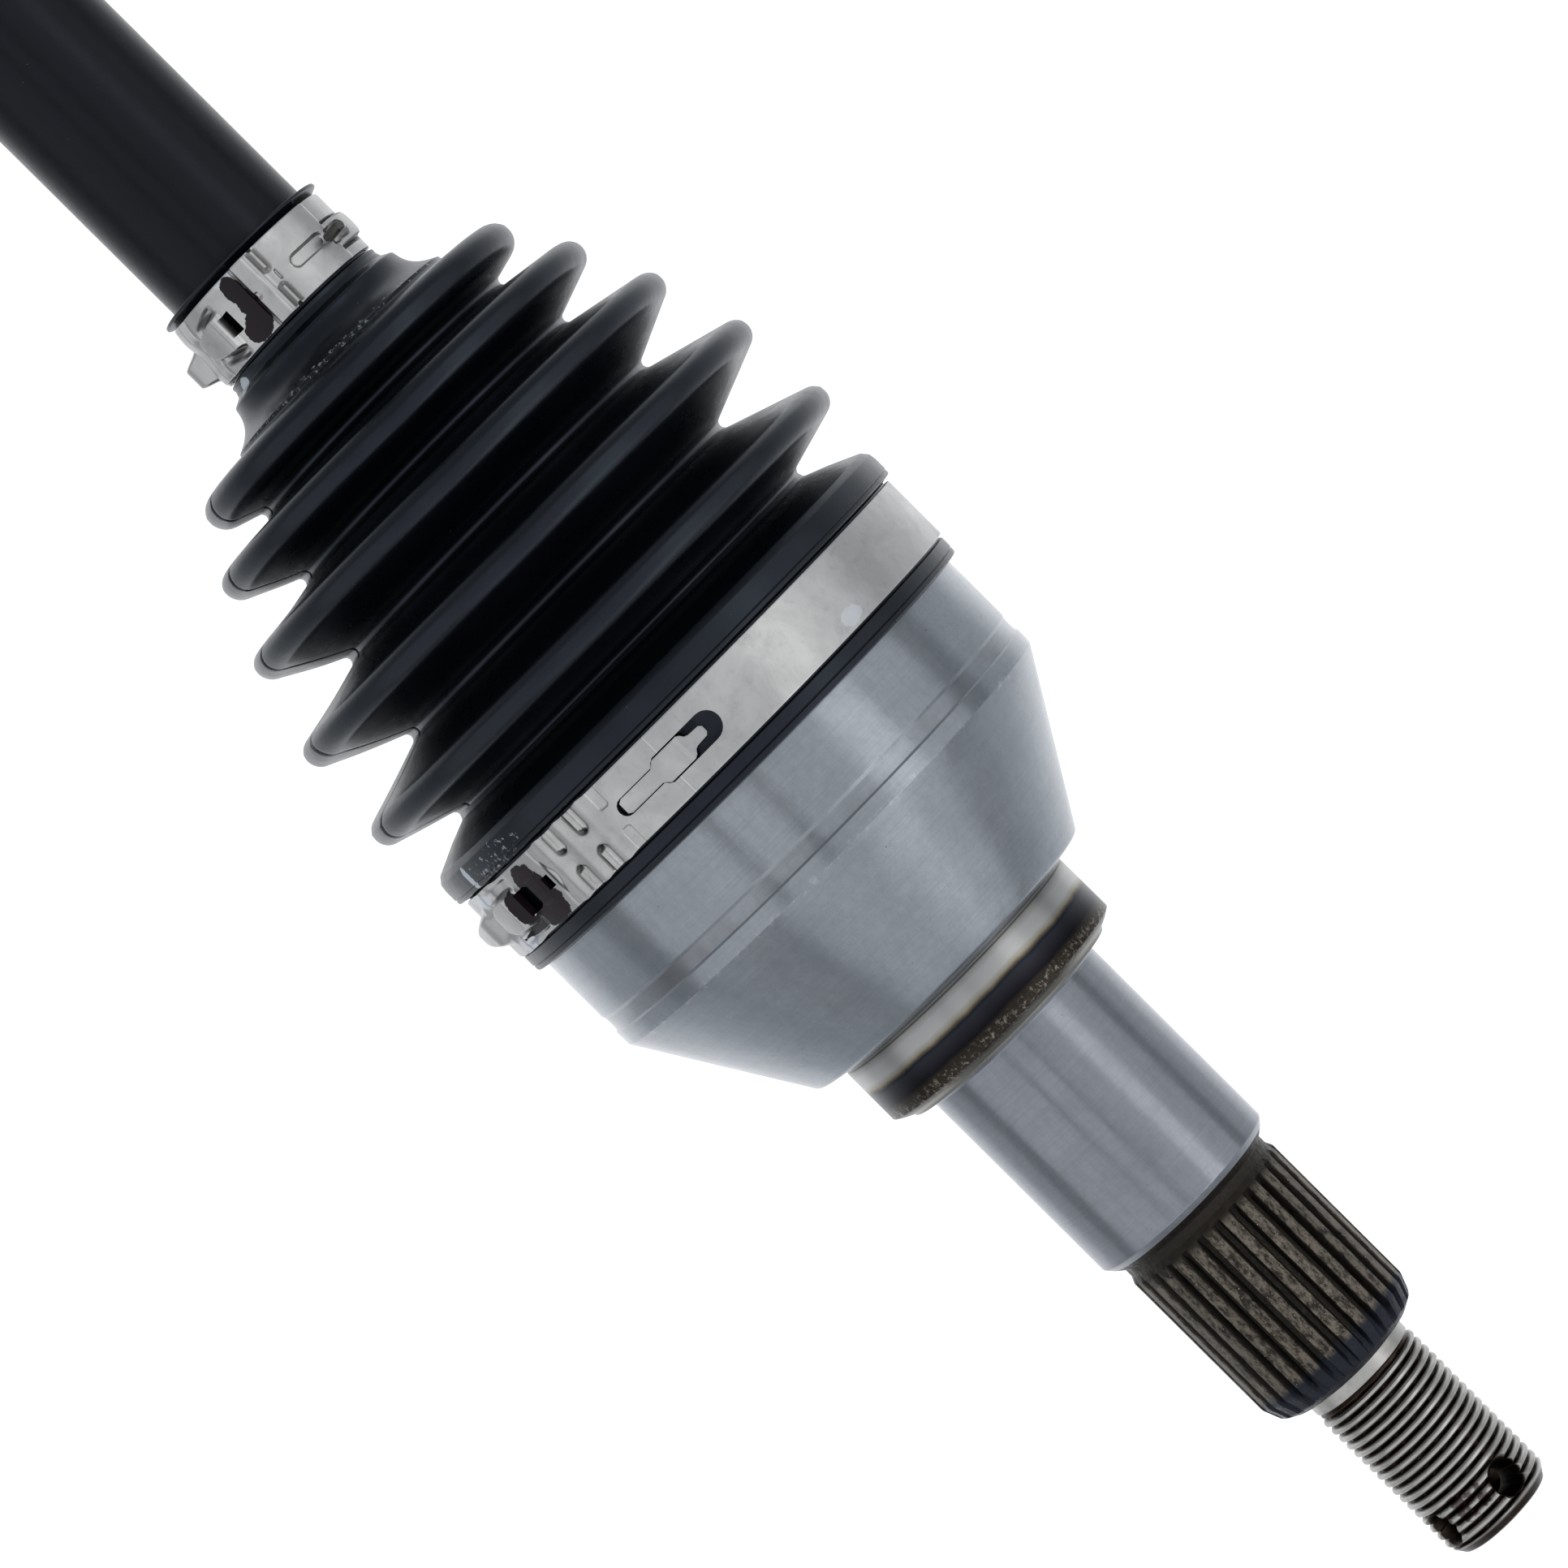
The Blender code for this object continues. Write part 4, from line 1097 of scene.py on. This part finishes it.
def make_small_cuff(prefix, centre, middle, side, last_valley, material, nodes):
    """The flare and cuff that grip the bar. side is the way from the joint to the bar's middle."""
    flare = abs(middle - last_valley[0])
    sweep = [(-flare + d, 15.15 + (last_valley[1] - 15.15) * math.exp(-((d / 1.75) ** 1.1)))
             for d in np.linspace(0.0, 4.8, 15)]
    outer = sweep + rounded([
        (-flare + 5.0, 15.2, 0.0), (-7.9, 15.15, 0.5), (-7.2, 13.9, 0.4), (-6.3, 13.6, 0.3),
        (-5.7, 13.7, 0.2), (-5.5, 12.8, 0.2), (5.3, 12.8, 0.3), (5.8, 13.6, 0.4),
        (6.1, 14.3, 0.25), (6.55, 14.2, 0.2), (6.5, 12.3, 0.0),
    ])
    inner = rounded([
        (6.5, 12.3, 0.0), (6.0, 12.3, 0.1), (6.0, 10.9, 0.1), (-5.8, 10.9, 0.1), (-5.9, 12.7, 0.4),
        (-9.0, 13.6, 1.5), (-flare + 2.0, 14.4, 1.2), (-flare, last_valley[1] - BOOT_WALL, 0.0),
    ])
    line = [(middle + side * x, radius) for x, radius in refined(outer, 0.9) + refined(inner, 2.0)]
    cuff = lathe(prefix + "_boot_small_cuff", line, centre, [material], even(200), closed=True,
                 sharp=60, relief=pockets(middle, 12.8, ((24.0, 40.0),)))
    attach(cuff, "shaft", "boot_rubber", *nodes)


def make_inboard_boot():
    """Seven folds, cut at crests."""
    material = rubber("inboard_rubber", IN).material
    valleys = [
        (43.0, 30.0), (54.0, 29.5), (65.0, 28.8), (76.0, 28.0),
        (86.0, 25.5), (95.5, 22.4), (104.5, 19.4), (112.0, 16.8),
    ]
    crests = [
        (48.5, 39.0), (59.5, 38.0), (70.5, 36.5), (81.0, 34.0), (91.0, 31.0), (100.0, 27.5),
        (108.5, 23.5),
    ]
    relief = crest_lines(crests, 0.9, 20.0)
    nodes = ["inboard_boot_wide", "inboard_boot_middle", "inboard_boot_narrow"]
    walls = boot_walls(valleys, crests, [CREST_ROUND - 0.2] * 7)
    stations = [valleys[0][0]] + [x for x, _ in crests[2:]]
    bodies = ["gearbox_stub", "gearbox_boot_wide", "gearbox_boot_middle", "gearbox_ball_set",
              "gearbox_boot_narrow", "shaft"]
    boot_bends("inboard", walls, stations, bodies, IN, material, relief, nodes)
    shoulder = boot_length("inboard_boot_shoulder", walls, crests[-1][0], valleys[-1][0], IN,
                           material, relief)
    attach(shoulder, "shaft", "boot_rubber", *nodes)
    outer = rounded([
        (20.0, 38.6, 0.0), (20.2, 39.9, 0.4), (22.1, 39.95, 0.25), (22.4, 39.5, 0.2),
        (33.5, 39.5, 0.2), (33.8, 41.0, 0.3), (36.6, 41.1, 0.5), (37.6, 40.4, 1.0),
        (39.0, 35.0, 1.2), (41.4, 30.5, 1.0), (43.0, 30.0, 0.0),
    ])
    inner = rounded([
        (43.0, 28.2, 0.0), (41.0, 28.6, 1.0), (37.6, 33.6, 0.8), (37.4, 37.3, 0.2),
        (22.7, 37.3, 0.1), (22.0, 38.6, 0.1), (20.0, 38.6, 0.0),
    ])
    cuff = boot_piece("inboard_boot_large_cuff", outer, inner[:-1], IN, material)
    attach(cuff, "gearbox_stub", "boot_rubber", *nodes)
    make_small_cuff("inboard", IN, GEARBOX_SMALL_BAND, 1, valleys[-1], material, nodes)


# ---------------------------------------------------------------- clamps

def band(name, centre, middle, radius, half_width, thickness, material, relief, fine, holes, lean=None):
    """A strip wrapped round the axle. relief(across, along, angle) gives its height above radius,
    with both in millimetres; fine is the stretch of degrees that gets close spacing."""
    low, high, step = fine
    close = np.radians(np.arange(low, high, step))
    rest = np.radians(np.arange(high, low + 360, 2.0))
    angles = np.concatenate([close, rest])
    across = np.linspace(-half_width, half_width, 65)
    outer = [(middle + x, radius) for x in across]
    inner = [(middle + half_width, radius - thickness), (middle - half_width, radius - thickness)]

    def shaped(X, R, A):
        around = signed(A)
        height = relief(X - middle, around * radius, np.degrees(around))
        is_outer = R > radius - thickness / 2
        edge = np.abs(X - middle) > half_width - 0.05
        return np.where(is_outer, R + height - 0.06 * edge, R)

    piece = lathe(name, outer + inner, centre, [material], angles, closed=True, relief=shaped,
                  sharp=40, lean=lean)
    cut_away(piece, [hole_cutter(centre, middle, radius, outline) for outline in holes], 40)
    return piece


def hole_cutter(centre, middle, radius, outline):
    """A cutter through a band. outline is (across, along) points in millimetres on its face."""
    made = bmesh.new()
    skin(made, [
        [made.verts.new(on_axle(centre, middle + x, radius + height, along / radius))
         for x, along in outline]
        for height in (-2.0, 4.5)
    ])
    return added("hole", finished(made, "hole"))


def keyhole(wide, narrow, start, neck, end):
    """The outline of a keyhole slot along the band, with rounded ends. wide and narrow are half
    widths."""
    head = []
    for angle in np.linspace(math.pi, 0.0, 13):
        head.append((wide * math.cos(angle), start + wide - wide * math.sin(angle)))
    right = [(wide, neck - 0.9), (wide - 0.35, neck - 0.3), (narrow, neck + 0.15)]
    foot = []
    for angle in np.linspace(0.0, math.pi, 9):
        foot.append((narrow * math.cos(angle), end - narrow + narrow * math.sin(angle)))
    left = [(-x, along) for x, along in right[::-1]]
    return head + right + foot + left


def make_large_clamp(prefix, centre, middle, radius, body, stained):
    """Wide band clamp: keyhole slot with its tongue, stiffening ribs, window, ear and hook."""
    strip = radius - 0.25
    paint = []
    smears = []
    if stained:
        paint = [(middle - 4.8, middle - 0.6, 47.9, 54.6), (middle - 3.0, middle + 2.2, 46.8, 53.6),
                 (middle - 1.0, middle + 5.6, 46.6, 56.6), (middle + 1.9, middle + 4.2, 50.0, 59.0),
                 (middle + 3.0, middle + 4.3, 52.0, 66.5), (middle - 2.8, middle + 2.6, 56.6, 58.9)]
        smears = [(middle - 5.3, middle - 2.6, 66.0, 70.0), (middle + 3.2, middle + 5.3, 62.0, 70.0),
                  (middle + 2.2, middle + 4.6, -37.5, -32.0)]
    # Painted shade: dark ovals along the band's end step, beside the ear and round the two ribs, where
    # shade falls.
    painted_shade = [(middle - 5.3, middle + 5.3, 44.5, 45.3), (middle - 3.4, middle - 2.6, 57.0, 67.5),
             (middle + 2.6, middle + 3.4, 57.0, 67.5)]
    for station in (31.5, 38.2):
        painted_shade.append((middle - 2.3, middle - 1.2, station - 0.9, station + 0.9))
        painted_shade.append((middle + 1.2, middle + 2.3, station - 0.9, station + 0.9))
        painted_shade.append((middle - 5.6, middle - 1.9, station + 0.75, station + 1.35))
        painted_shade.append((middle + 1.9, middle + 5.6, station + 0.75, station + 1.35))
    material = clamp_steel(prefix + "_large_clamp_steel", centre, paint, smears, painted_shade)

    def relief(across, along, degrees):
        height = np.zeros_like(across)
        edges = np.abs(across)
        end_line = 44.7 - 1.5 * hump(across, 0.0, 2.0)
        height += 0.30 * ease(degrees, 10.4, 10.8) * ease(degrees, end_line + 0.2, end_line - 0.1)
        height -= 0.50 * hump(degrees - end_line, 0.3, 0.34)
        tray = np.hypot(np.maximum(2.3 - edges, 0), along - np.clip(along, 17.6, 18.3)) - 0.45
        height -= 0.24 * ease(tray, 0.12, -0.12)
        for station in (22.7, 27.5):
            rib = np.hypot(np.maximum(2.2 - edges, 0), along - station) - 0.42
            height += 0.60 * ease(rib, 0.16, -0.16)
            height -= 0.55 * hump(rib, 0.34, 0.22) * ease(along, station - 0.7, station + 0.2)
            height -= 0.25 * hump(rib, 0.40, 0.25)
        for station in (20.3, 25.1, 29.7):
            height += 0.34 * hump(along, station, 1.25) * (1 - 0.35 * hump(across, 0.0, 0.9))
        height += 0.12 * pad(degrees, 48.6, 52.0, 1.0) * ease(edges, 2.4, 1.8)
        round_end = 2.8 - 1.5 * ease(degrees, 62.5, 67.0)
        height -= 0.45 * pad(degrees, 56.5, 66.5, 2.0) * ease(edges, 2.4, 3.0) * ease(edges, 4.8, 4.2)
        height += 1.9 * pad(degrees, 57.9, 66.6, 3.0) * ease(edges, round_end + 0.55, round_end - 0.45)
        height += 0.75 * pad(degrees, 66.0, 71.0, 2.0) * ease(edges, 1.2, 3.3)
        width = 3.1 - 1.9 * np.clip((degrees - 70.0) / 20.0, 0, 1)
        height += 2.05 * pad(degrees, 71.5, 97.0, 6.0) * ease(edges, width + 0.9, width - 0.9)
        return height

    def flare(X, R, A):
        across = X - middle
        along = signed(A) * strip
        swell = sum(hump(along, station, 0.9) for station in (20.3, 25.1, 29.8))
        lower = pad(along, 44.0, 60.0, 4.0)
        return np.sign(across) * ease(np.abs(across), 4.3, 5.1) * (0.16 * swell + 0.28 * lower)

    slot = keyhole(2.2, 1.35, -1.7, 9.45, 17.0)
    window = [(-1.0, 33.0), (1.0, 33.0), (1.0, 34.6), (-1.0, 34.6)]
    mouth = [(-1.55, 37.8), (1.55, 37.8), (1.95, 38.6), (1.95, 41.3), (-1.95, 41.3), (-1.95, 38.6)]
    fine = (-6.0, 104.0, 0.22)
    piece = band(prefix + "_large_band", centre, middle, strip, 5.1, 0.7, material, relief, fine,
                 [slot, window, mouth], flare)
    attach(piece, body, "clamp_steel", prefix + "_large_clamp")
    make_tongue(prefix, centre, middle, strip, material, body)


def make_tongue(prefix, centre, middle, radius, material, body):
    """The tongue in the slot: narrow tip, wide shoulders, narrow neck."""
    outline = [
        (0.45, 0.85), (0.85, 1.25), (0.95, 3.05), (1.15, 3.55), (1.7, 3.95), (1.98, 4.4),
        (1.98, 8.9), (1.6, 9.35), (1.2, 9.85), (1.2, 15.7), (0.85, 16.3),
    ]
    outline = [(-0.45, 0.85)] + outline + [(-x, along) for x, along in outline[:0:-1]]
    made = bmesh.new()
    made.faces.new([made.verts.new((x, along, 0.0)) for x, along in outline])
    for station in np.arange(1.5, 16.0, 0.5):
        geometry = made.verts[:] + made.edges[:] + made.faces[:]
        bmesh.ops.bisect_plane(made, geom=geometry, plane_co=(0, station, 0), plane_no=(0, 1, 0))
    extruded = bmesh.ops.extrude_face_region(made, geom=made.faces[:])
    top = [v for v in extruded["geom"] if isinstance(v, bmesh.types.BMVert)]
    bmesh.ops.translate(made, verts=top, vec=(0, 0, 0.7))
    rim = [e for e in made.edges if e.calc_face_angle(0) > 1.0 and all(v.co.z > 0.6 for v in e.verts)]
    bmesh.ops.bevel(made, geom=rim, offset=0.12, segments=2, affect="EDGES")
    for vert in made.verts:
        x, along, height = vert.co
        lift = 0.30 * float(ease(np.array(along), 4.4, 5.0)) - 0.25
        vert.co = on_axle(centre, middle + x, radius - 0.7 + height + lift, along / radius)
    bmesh.ops.recalc_face_normals(made, faces=made.faces)
    piece = link(prefix + "_large_band_tongue", finished(made, "tongue"), [material], 40)
    attach(piece, body, "clamp_steel", prefix + "_large_clamp")


def make_small_clamp(prefix, centre, middle, radius, stained):
    """Narrow-bore band clamp: pressed recess, hook pin under an arch, ribs, ear and hook bump."""
    paint = []
    smears = []
    if stained:
        paint = [(middle - 4.9, middle - 0.6, 10.4, 22.5), (middle - 2.6, middle + 2.6, 8.4, 21.5),
                 (middle + 0.4, middle + 4.2, 8.8, 24.5), (middle + 1.4, middle + 5.2, 13.0, 30.5)]
        smears = [(middle - 5.6, middle - 3.9, 9.0, 24.0)]
    # Painted shade: dark ovals beside the ear and at its end, beside the arch and in the groove by the
    # band's end, where shade falls.
    painted_shade = [(middle - 3.5, middle - 2.0, 34.0, 58.0), (middle + 2.9, middle + 4.4, 34.0, 59.0),
             (middle - 1.8, middle + 3.4, 57.0, 61.0), (middle - 1.6, middle - 0.6, -96.0, -50.0),
             (middle + 2.8, middle + 3.8, -96.0, -50.0), (middle - 5.2, middle + 5.2, 9.6, 11.4)]
    material = clamp_steel(prefix + "_small_clamp_steel", centre, paint, smears, painted_shade)

    def relief(across, along, degrees):
        height = np.zeros_like(across)
        edges = np.abs(across)
        height += 0.30 * pad(degrees, -53.0, -2.0, 1.0)
        height -= 0.35 * hump(degrees, -53.6, 0.8) * ease(np.abs(across - 1.1), 1.9, 2.3)
        slot = np.hypot(across - 0.45, along - np.clip(along, -10.3, -5.4)) - 1.0
        height -= 0.60 * ease(slot, 0.18, -0.22)
        dash = np.hypot(across - 0.05 - np.clip(across - 0.05, -0.6, 0.6), along + 2.05) - 0.14
        height -= 0.35 * ease(dash, 0.14, -0.10)
        rib = np.hypot(np.maximum(1.9 - edges, 0), along + 1.4) - 0.30
        height += 0.50 * ease(rib, 0.16, -0.16) * ease(edges, 5.1, 4.6)
        height -= 0.35 * hump(rib, 0.30, 0.18) * ease(edges, 5.1, 4.6)
        height += 0.62 * ease(degrees, -4.2, 0.5) * ease(degrees, 9.9, 8.6)
        height += 0.18 * hump(degrees, 2.5, 3.0) * (1 - hump(across, 0.2, 1.4))
        height -= 0.30 * hump(degrees, 10.6, 0.8)
        dimple = np.hypot(across - 0.2, along - 1.95) - 0.45
        height -= 0.35 * ease(dimple, 0.35, -0.25)
        taper = np.clip((degrees - 33.0) / 26.0, 0, 1)
        left = -2.5 + 1.3 * taper ** 2
        right = 3.5 - 1.6 * taper ** 2
        ear = pad(degrees, 35.0, 58.0, 5.0) * pad(across, left, right, 0.9)
        well = pad(degrees, 36.0, 58.0, 5.0) * pad(across, left - 1.3, right + 1.3, 0.8)
        height += 1.95 * ear - 0.55 * well
        rim = 61.5 - 2.2 * np.cos((across - 0.5) * 0.95)
        height += 0.80 * pad(degrees, rim, rim + 12.0, 4.0)
        taper = np.clip((degrees - 74.0) / 28.0, 0, 1)
        left = -1.6 + 1.5 * taper
        right = 3.9 - 1.2 * taper
        height += 2.9 * pad(degrees, 80.0, 110.0, 14.0) * pad(across, left, right, 1.4)
        arch_edge = np.hypot(across - 1.1, np.maximum(-along - 17.3, 0)) - 2.1
        arch = ease(arch_edge, 0.15, -0.10) * ease(degrees, -52.6, -53.4) * ease(degrees, -96.0, -84.0)
        height += 1.0 * arch
        height -= 0.5 * hump(arch_edge, 0.22, 0.16) * ease(degrees, -52.0, -54.0)
        inner_arch = np.hypot((across - 1.1) / 1.25, np.maximum(-along - 14.5, 0)) - 0.95
        height -= 1.2 * ease(inner_arch, 0.15, -0.15) * ease(degrees, -49.0, -50.5)
        return height

    mouth = [(-1.55, 6.7), (1.9, 6.7), (1.8, 8.3), (-1.45, 8.3)]
    fine = (-96.0, 124.0, 0.6)
    piece = band(prefix + "_small_band", centre, middle, radius - 0.2, 5.1, 0.7, material, relief,
                 fine, [mouth])
    attach(piece, "shaft", "clamp_steel", prefix + "_small_clamp")
    pin = bmesh.new()
    bmesh.ops.create_cone(pin, cap_ends=True, segments=28, radius1=0.78 * MM, radius2=0.78 * MM,
                          depth=3.6 * MM)
    ends = [e for e in pin.edges if abs(e.verts[0].co.z - e.verts[1].co.z) < 1e-6]
    bmesh.ops.bevel(pin, geom=ends, offset=0.18 * MM, segments=3, affect="EDGES")
    steel = ground_steel(prefix + "_pin_steel", centre, (0.16, 0.155, 0.15), 0.26)
    piece = link(prefix + "_small_band_pin", finished(pin, "pin"), [steel], 40)
    station = Matrix.Translation((centre + (middle + 1.0) * MM, 0, 0))
    turn = Matrix.Rotation(math.radians(-49.0), 4, "X")
    out = Matrix.Translation((0, 0, (radius + 1.5) * MM))
    piece.matrix_world = station @ turn @ out @ Matrix.Rotation(math.radians(2.0), 4, "X")
    attach(piece, "shaft", "clamp_steel", prefix + "_small_clamp")


# ---------------------------------------------------------------- stage

def make_stage():
    """Pale floor, soft lights and the camera above the wheel end."""
    paper = Nodes("floor_paper", 0.0, roughness=0.9)
    grain = paper.noise(0.02, 2.0)
    paper.colour(paper.mix(grain, (0.84, 0.85, 0.86), (0.87, 0.88, 0.89)))
    side = paper.math("ABSOLUTE", paper.y)
    along = paper.math("ABSOLUTE", paper.x)
    glow = paper.times(paper.span(side, 220.0, 420.0, 0.42, 0.0, True),
                       paper.span(along, 460.0, 800.0, 1.0, 0.0, True))
    paper.feed(paper.shader.inputs["Emission Color"], (1.0, 1.0, 1.0, 1.0))
    paper.feed(paper.shader.inputs["Emission Strength"], glow)
    builder = bmesh.new()
    bmesh.ops.create_grid(builder, x_segments=4, y_segments=4, size=6.0)
    floor = link("floor", finished(builder, "floor"), [paper.material])
    floor.location = (0, 0, -0.25)

    world = bpy.data.worlds.new("studio")
    world.use_nodes = True
    background = world.node_tree.nodes["Background"]
    background.inputs["Color"].default_value = (0.92, 0.96, 1.0, 1.0)
    background.inputs["Strength"].default_value = 0.48
    bpy.context.scene.world = world

    softbox("back_softbox", 12.0, -41.0, 1.3, (2.0, 2.24), 0.44)
    softbox("back_strip", 12.0, -42.0, 1.2, (2.0, 0.40), 0.60)
    softbox("top_softbox", 12.0, 15.5, 1.3, (2.0, 0.44), 0.50)
    softbox("front_softbox", 12.0, 56.5, 1.3, (2.0, 1.24), 0.49)
    softbox("wheel_end_softbox", 62.0, 0.0, 1.6, (0.7, 1.4), 0.66)
    softbox("wheel_end_back_softbox", 52.0, -48.0, 1.6, (0.8, 1.0), 0.55)

    make_camera()


def make_camera():
    """The camera over the wheel end, so that the axle lies across the frame's diagonal."""
    aim = Vector((OUT - 0.0005, 0.00134, 0.0))
    roll = math.radians(0.17)
    camera_data = bpy.data.cameras.new("camera")
    camera_data.angle = 2 * math.atan(0.5 * PHOTO_SIDE / PHOTO_SCALE / CAMERA_HEIGHT)
    camera = added("camera", camera_data)
    place = Vector((OUT - 0.0342, 0.00134, CAMERA_HEIGHT * MM))
    back = (place - aim).normalized()
    up = Vector((-math.cos(math.pi / 4 + roll), math.sin(math.pi / 4 + roll), 0.0))
    right = up.cross(back).normalized()
    true_up = back.cross(right)
    camera.matrix_world = Matrix((
        (right.x, true_up.x, back.x, place.x),
        (right.y, true_up.y, back.y, place.y),
        (right.z, true_up.z, back.z, place.z),
        (0, 0, 0, 1),
    ))
    camera_data.clip_start = 0.01
    camera_data.clip_end = 50
    bpy.context.scene.camera = camera
    bpy.context.scene.view_settings.view_transform = "Standard"


def softbox(name, lean_x, lean_y, distance, size, radiance):
    """A rectangular light aimed at the middle of the axle. The leans are degrees from straight up,
    towards the wheel end and towards -Y."""
    data = bpy.data.lights.new(name, "AREA")
    data.shape = "RECTANGLE"
    data.size, data.size_y = size
    data.energy = radiance * math.pi * size[0] * size[1]
    turn_y = Matrix.Rotation(math.radians(lean_y), 4, "X")
    turn_x = Matrix.Rotation(math.radians(lean_x), 4, "Y")
    light = added(name, data)
    light.matrix_world = turn_y @ turn_x @ Matrix.Translation((0, 0, distance))


make_stage()
make_wheel_housing()
make_outboard_boot()
make_large_clamp("outboard", OUT, WHEEL_LARGE_BAND, 41.5, "wheel_stub", True)
make_small_clamp("outboard", OUT, WHEEL_SMALL_BAND, 13.8, True)
make_ball_set("outboard", OUT, "wheel_ball_set")
make_race("outboard", OUT, True)
wire_ring("outboard_circlip_wire", "outboard_circlip", "shaft", OUT, 13.2, 11.7, 0.55, 30)
make_bar()
make_gearbox_housing()
make_inboard_boot()
make_large_clamp("inboard", IN, GEARBOX_LARGE_BAND, 40.5, "gearbox_stub", False)
make_small_clamp("inboard", IN, GEARBOX_SMALL_BAND, 13.8, False)
make_ball_set("inboard", IN, "gearbox_ball_set")
make_race("inboard", IN, False)
wire_ring("inboard_circlip_wire", "inboard_circlip", "shaft", IN, -13.2, 11.7, 0.55, 30)
wire_ring("retaining_ring_wire", "inboard_retaining_ring", "gearbox_stub", IN, 33.0, 31.1, 0.95, 12)
wire_ring("stub_clip_wire", "inboard_stub_circlip", "gearbox_stub", IN, -88.0, 12.7, 0.8, 40)
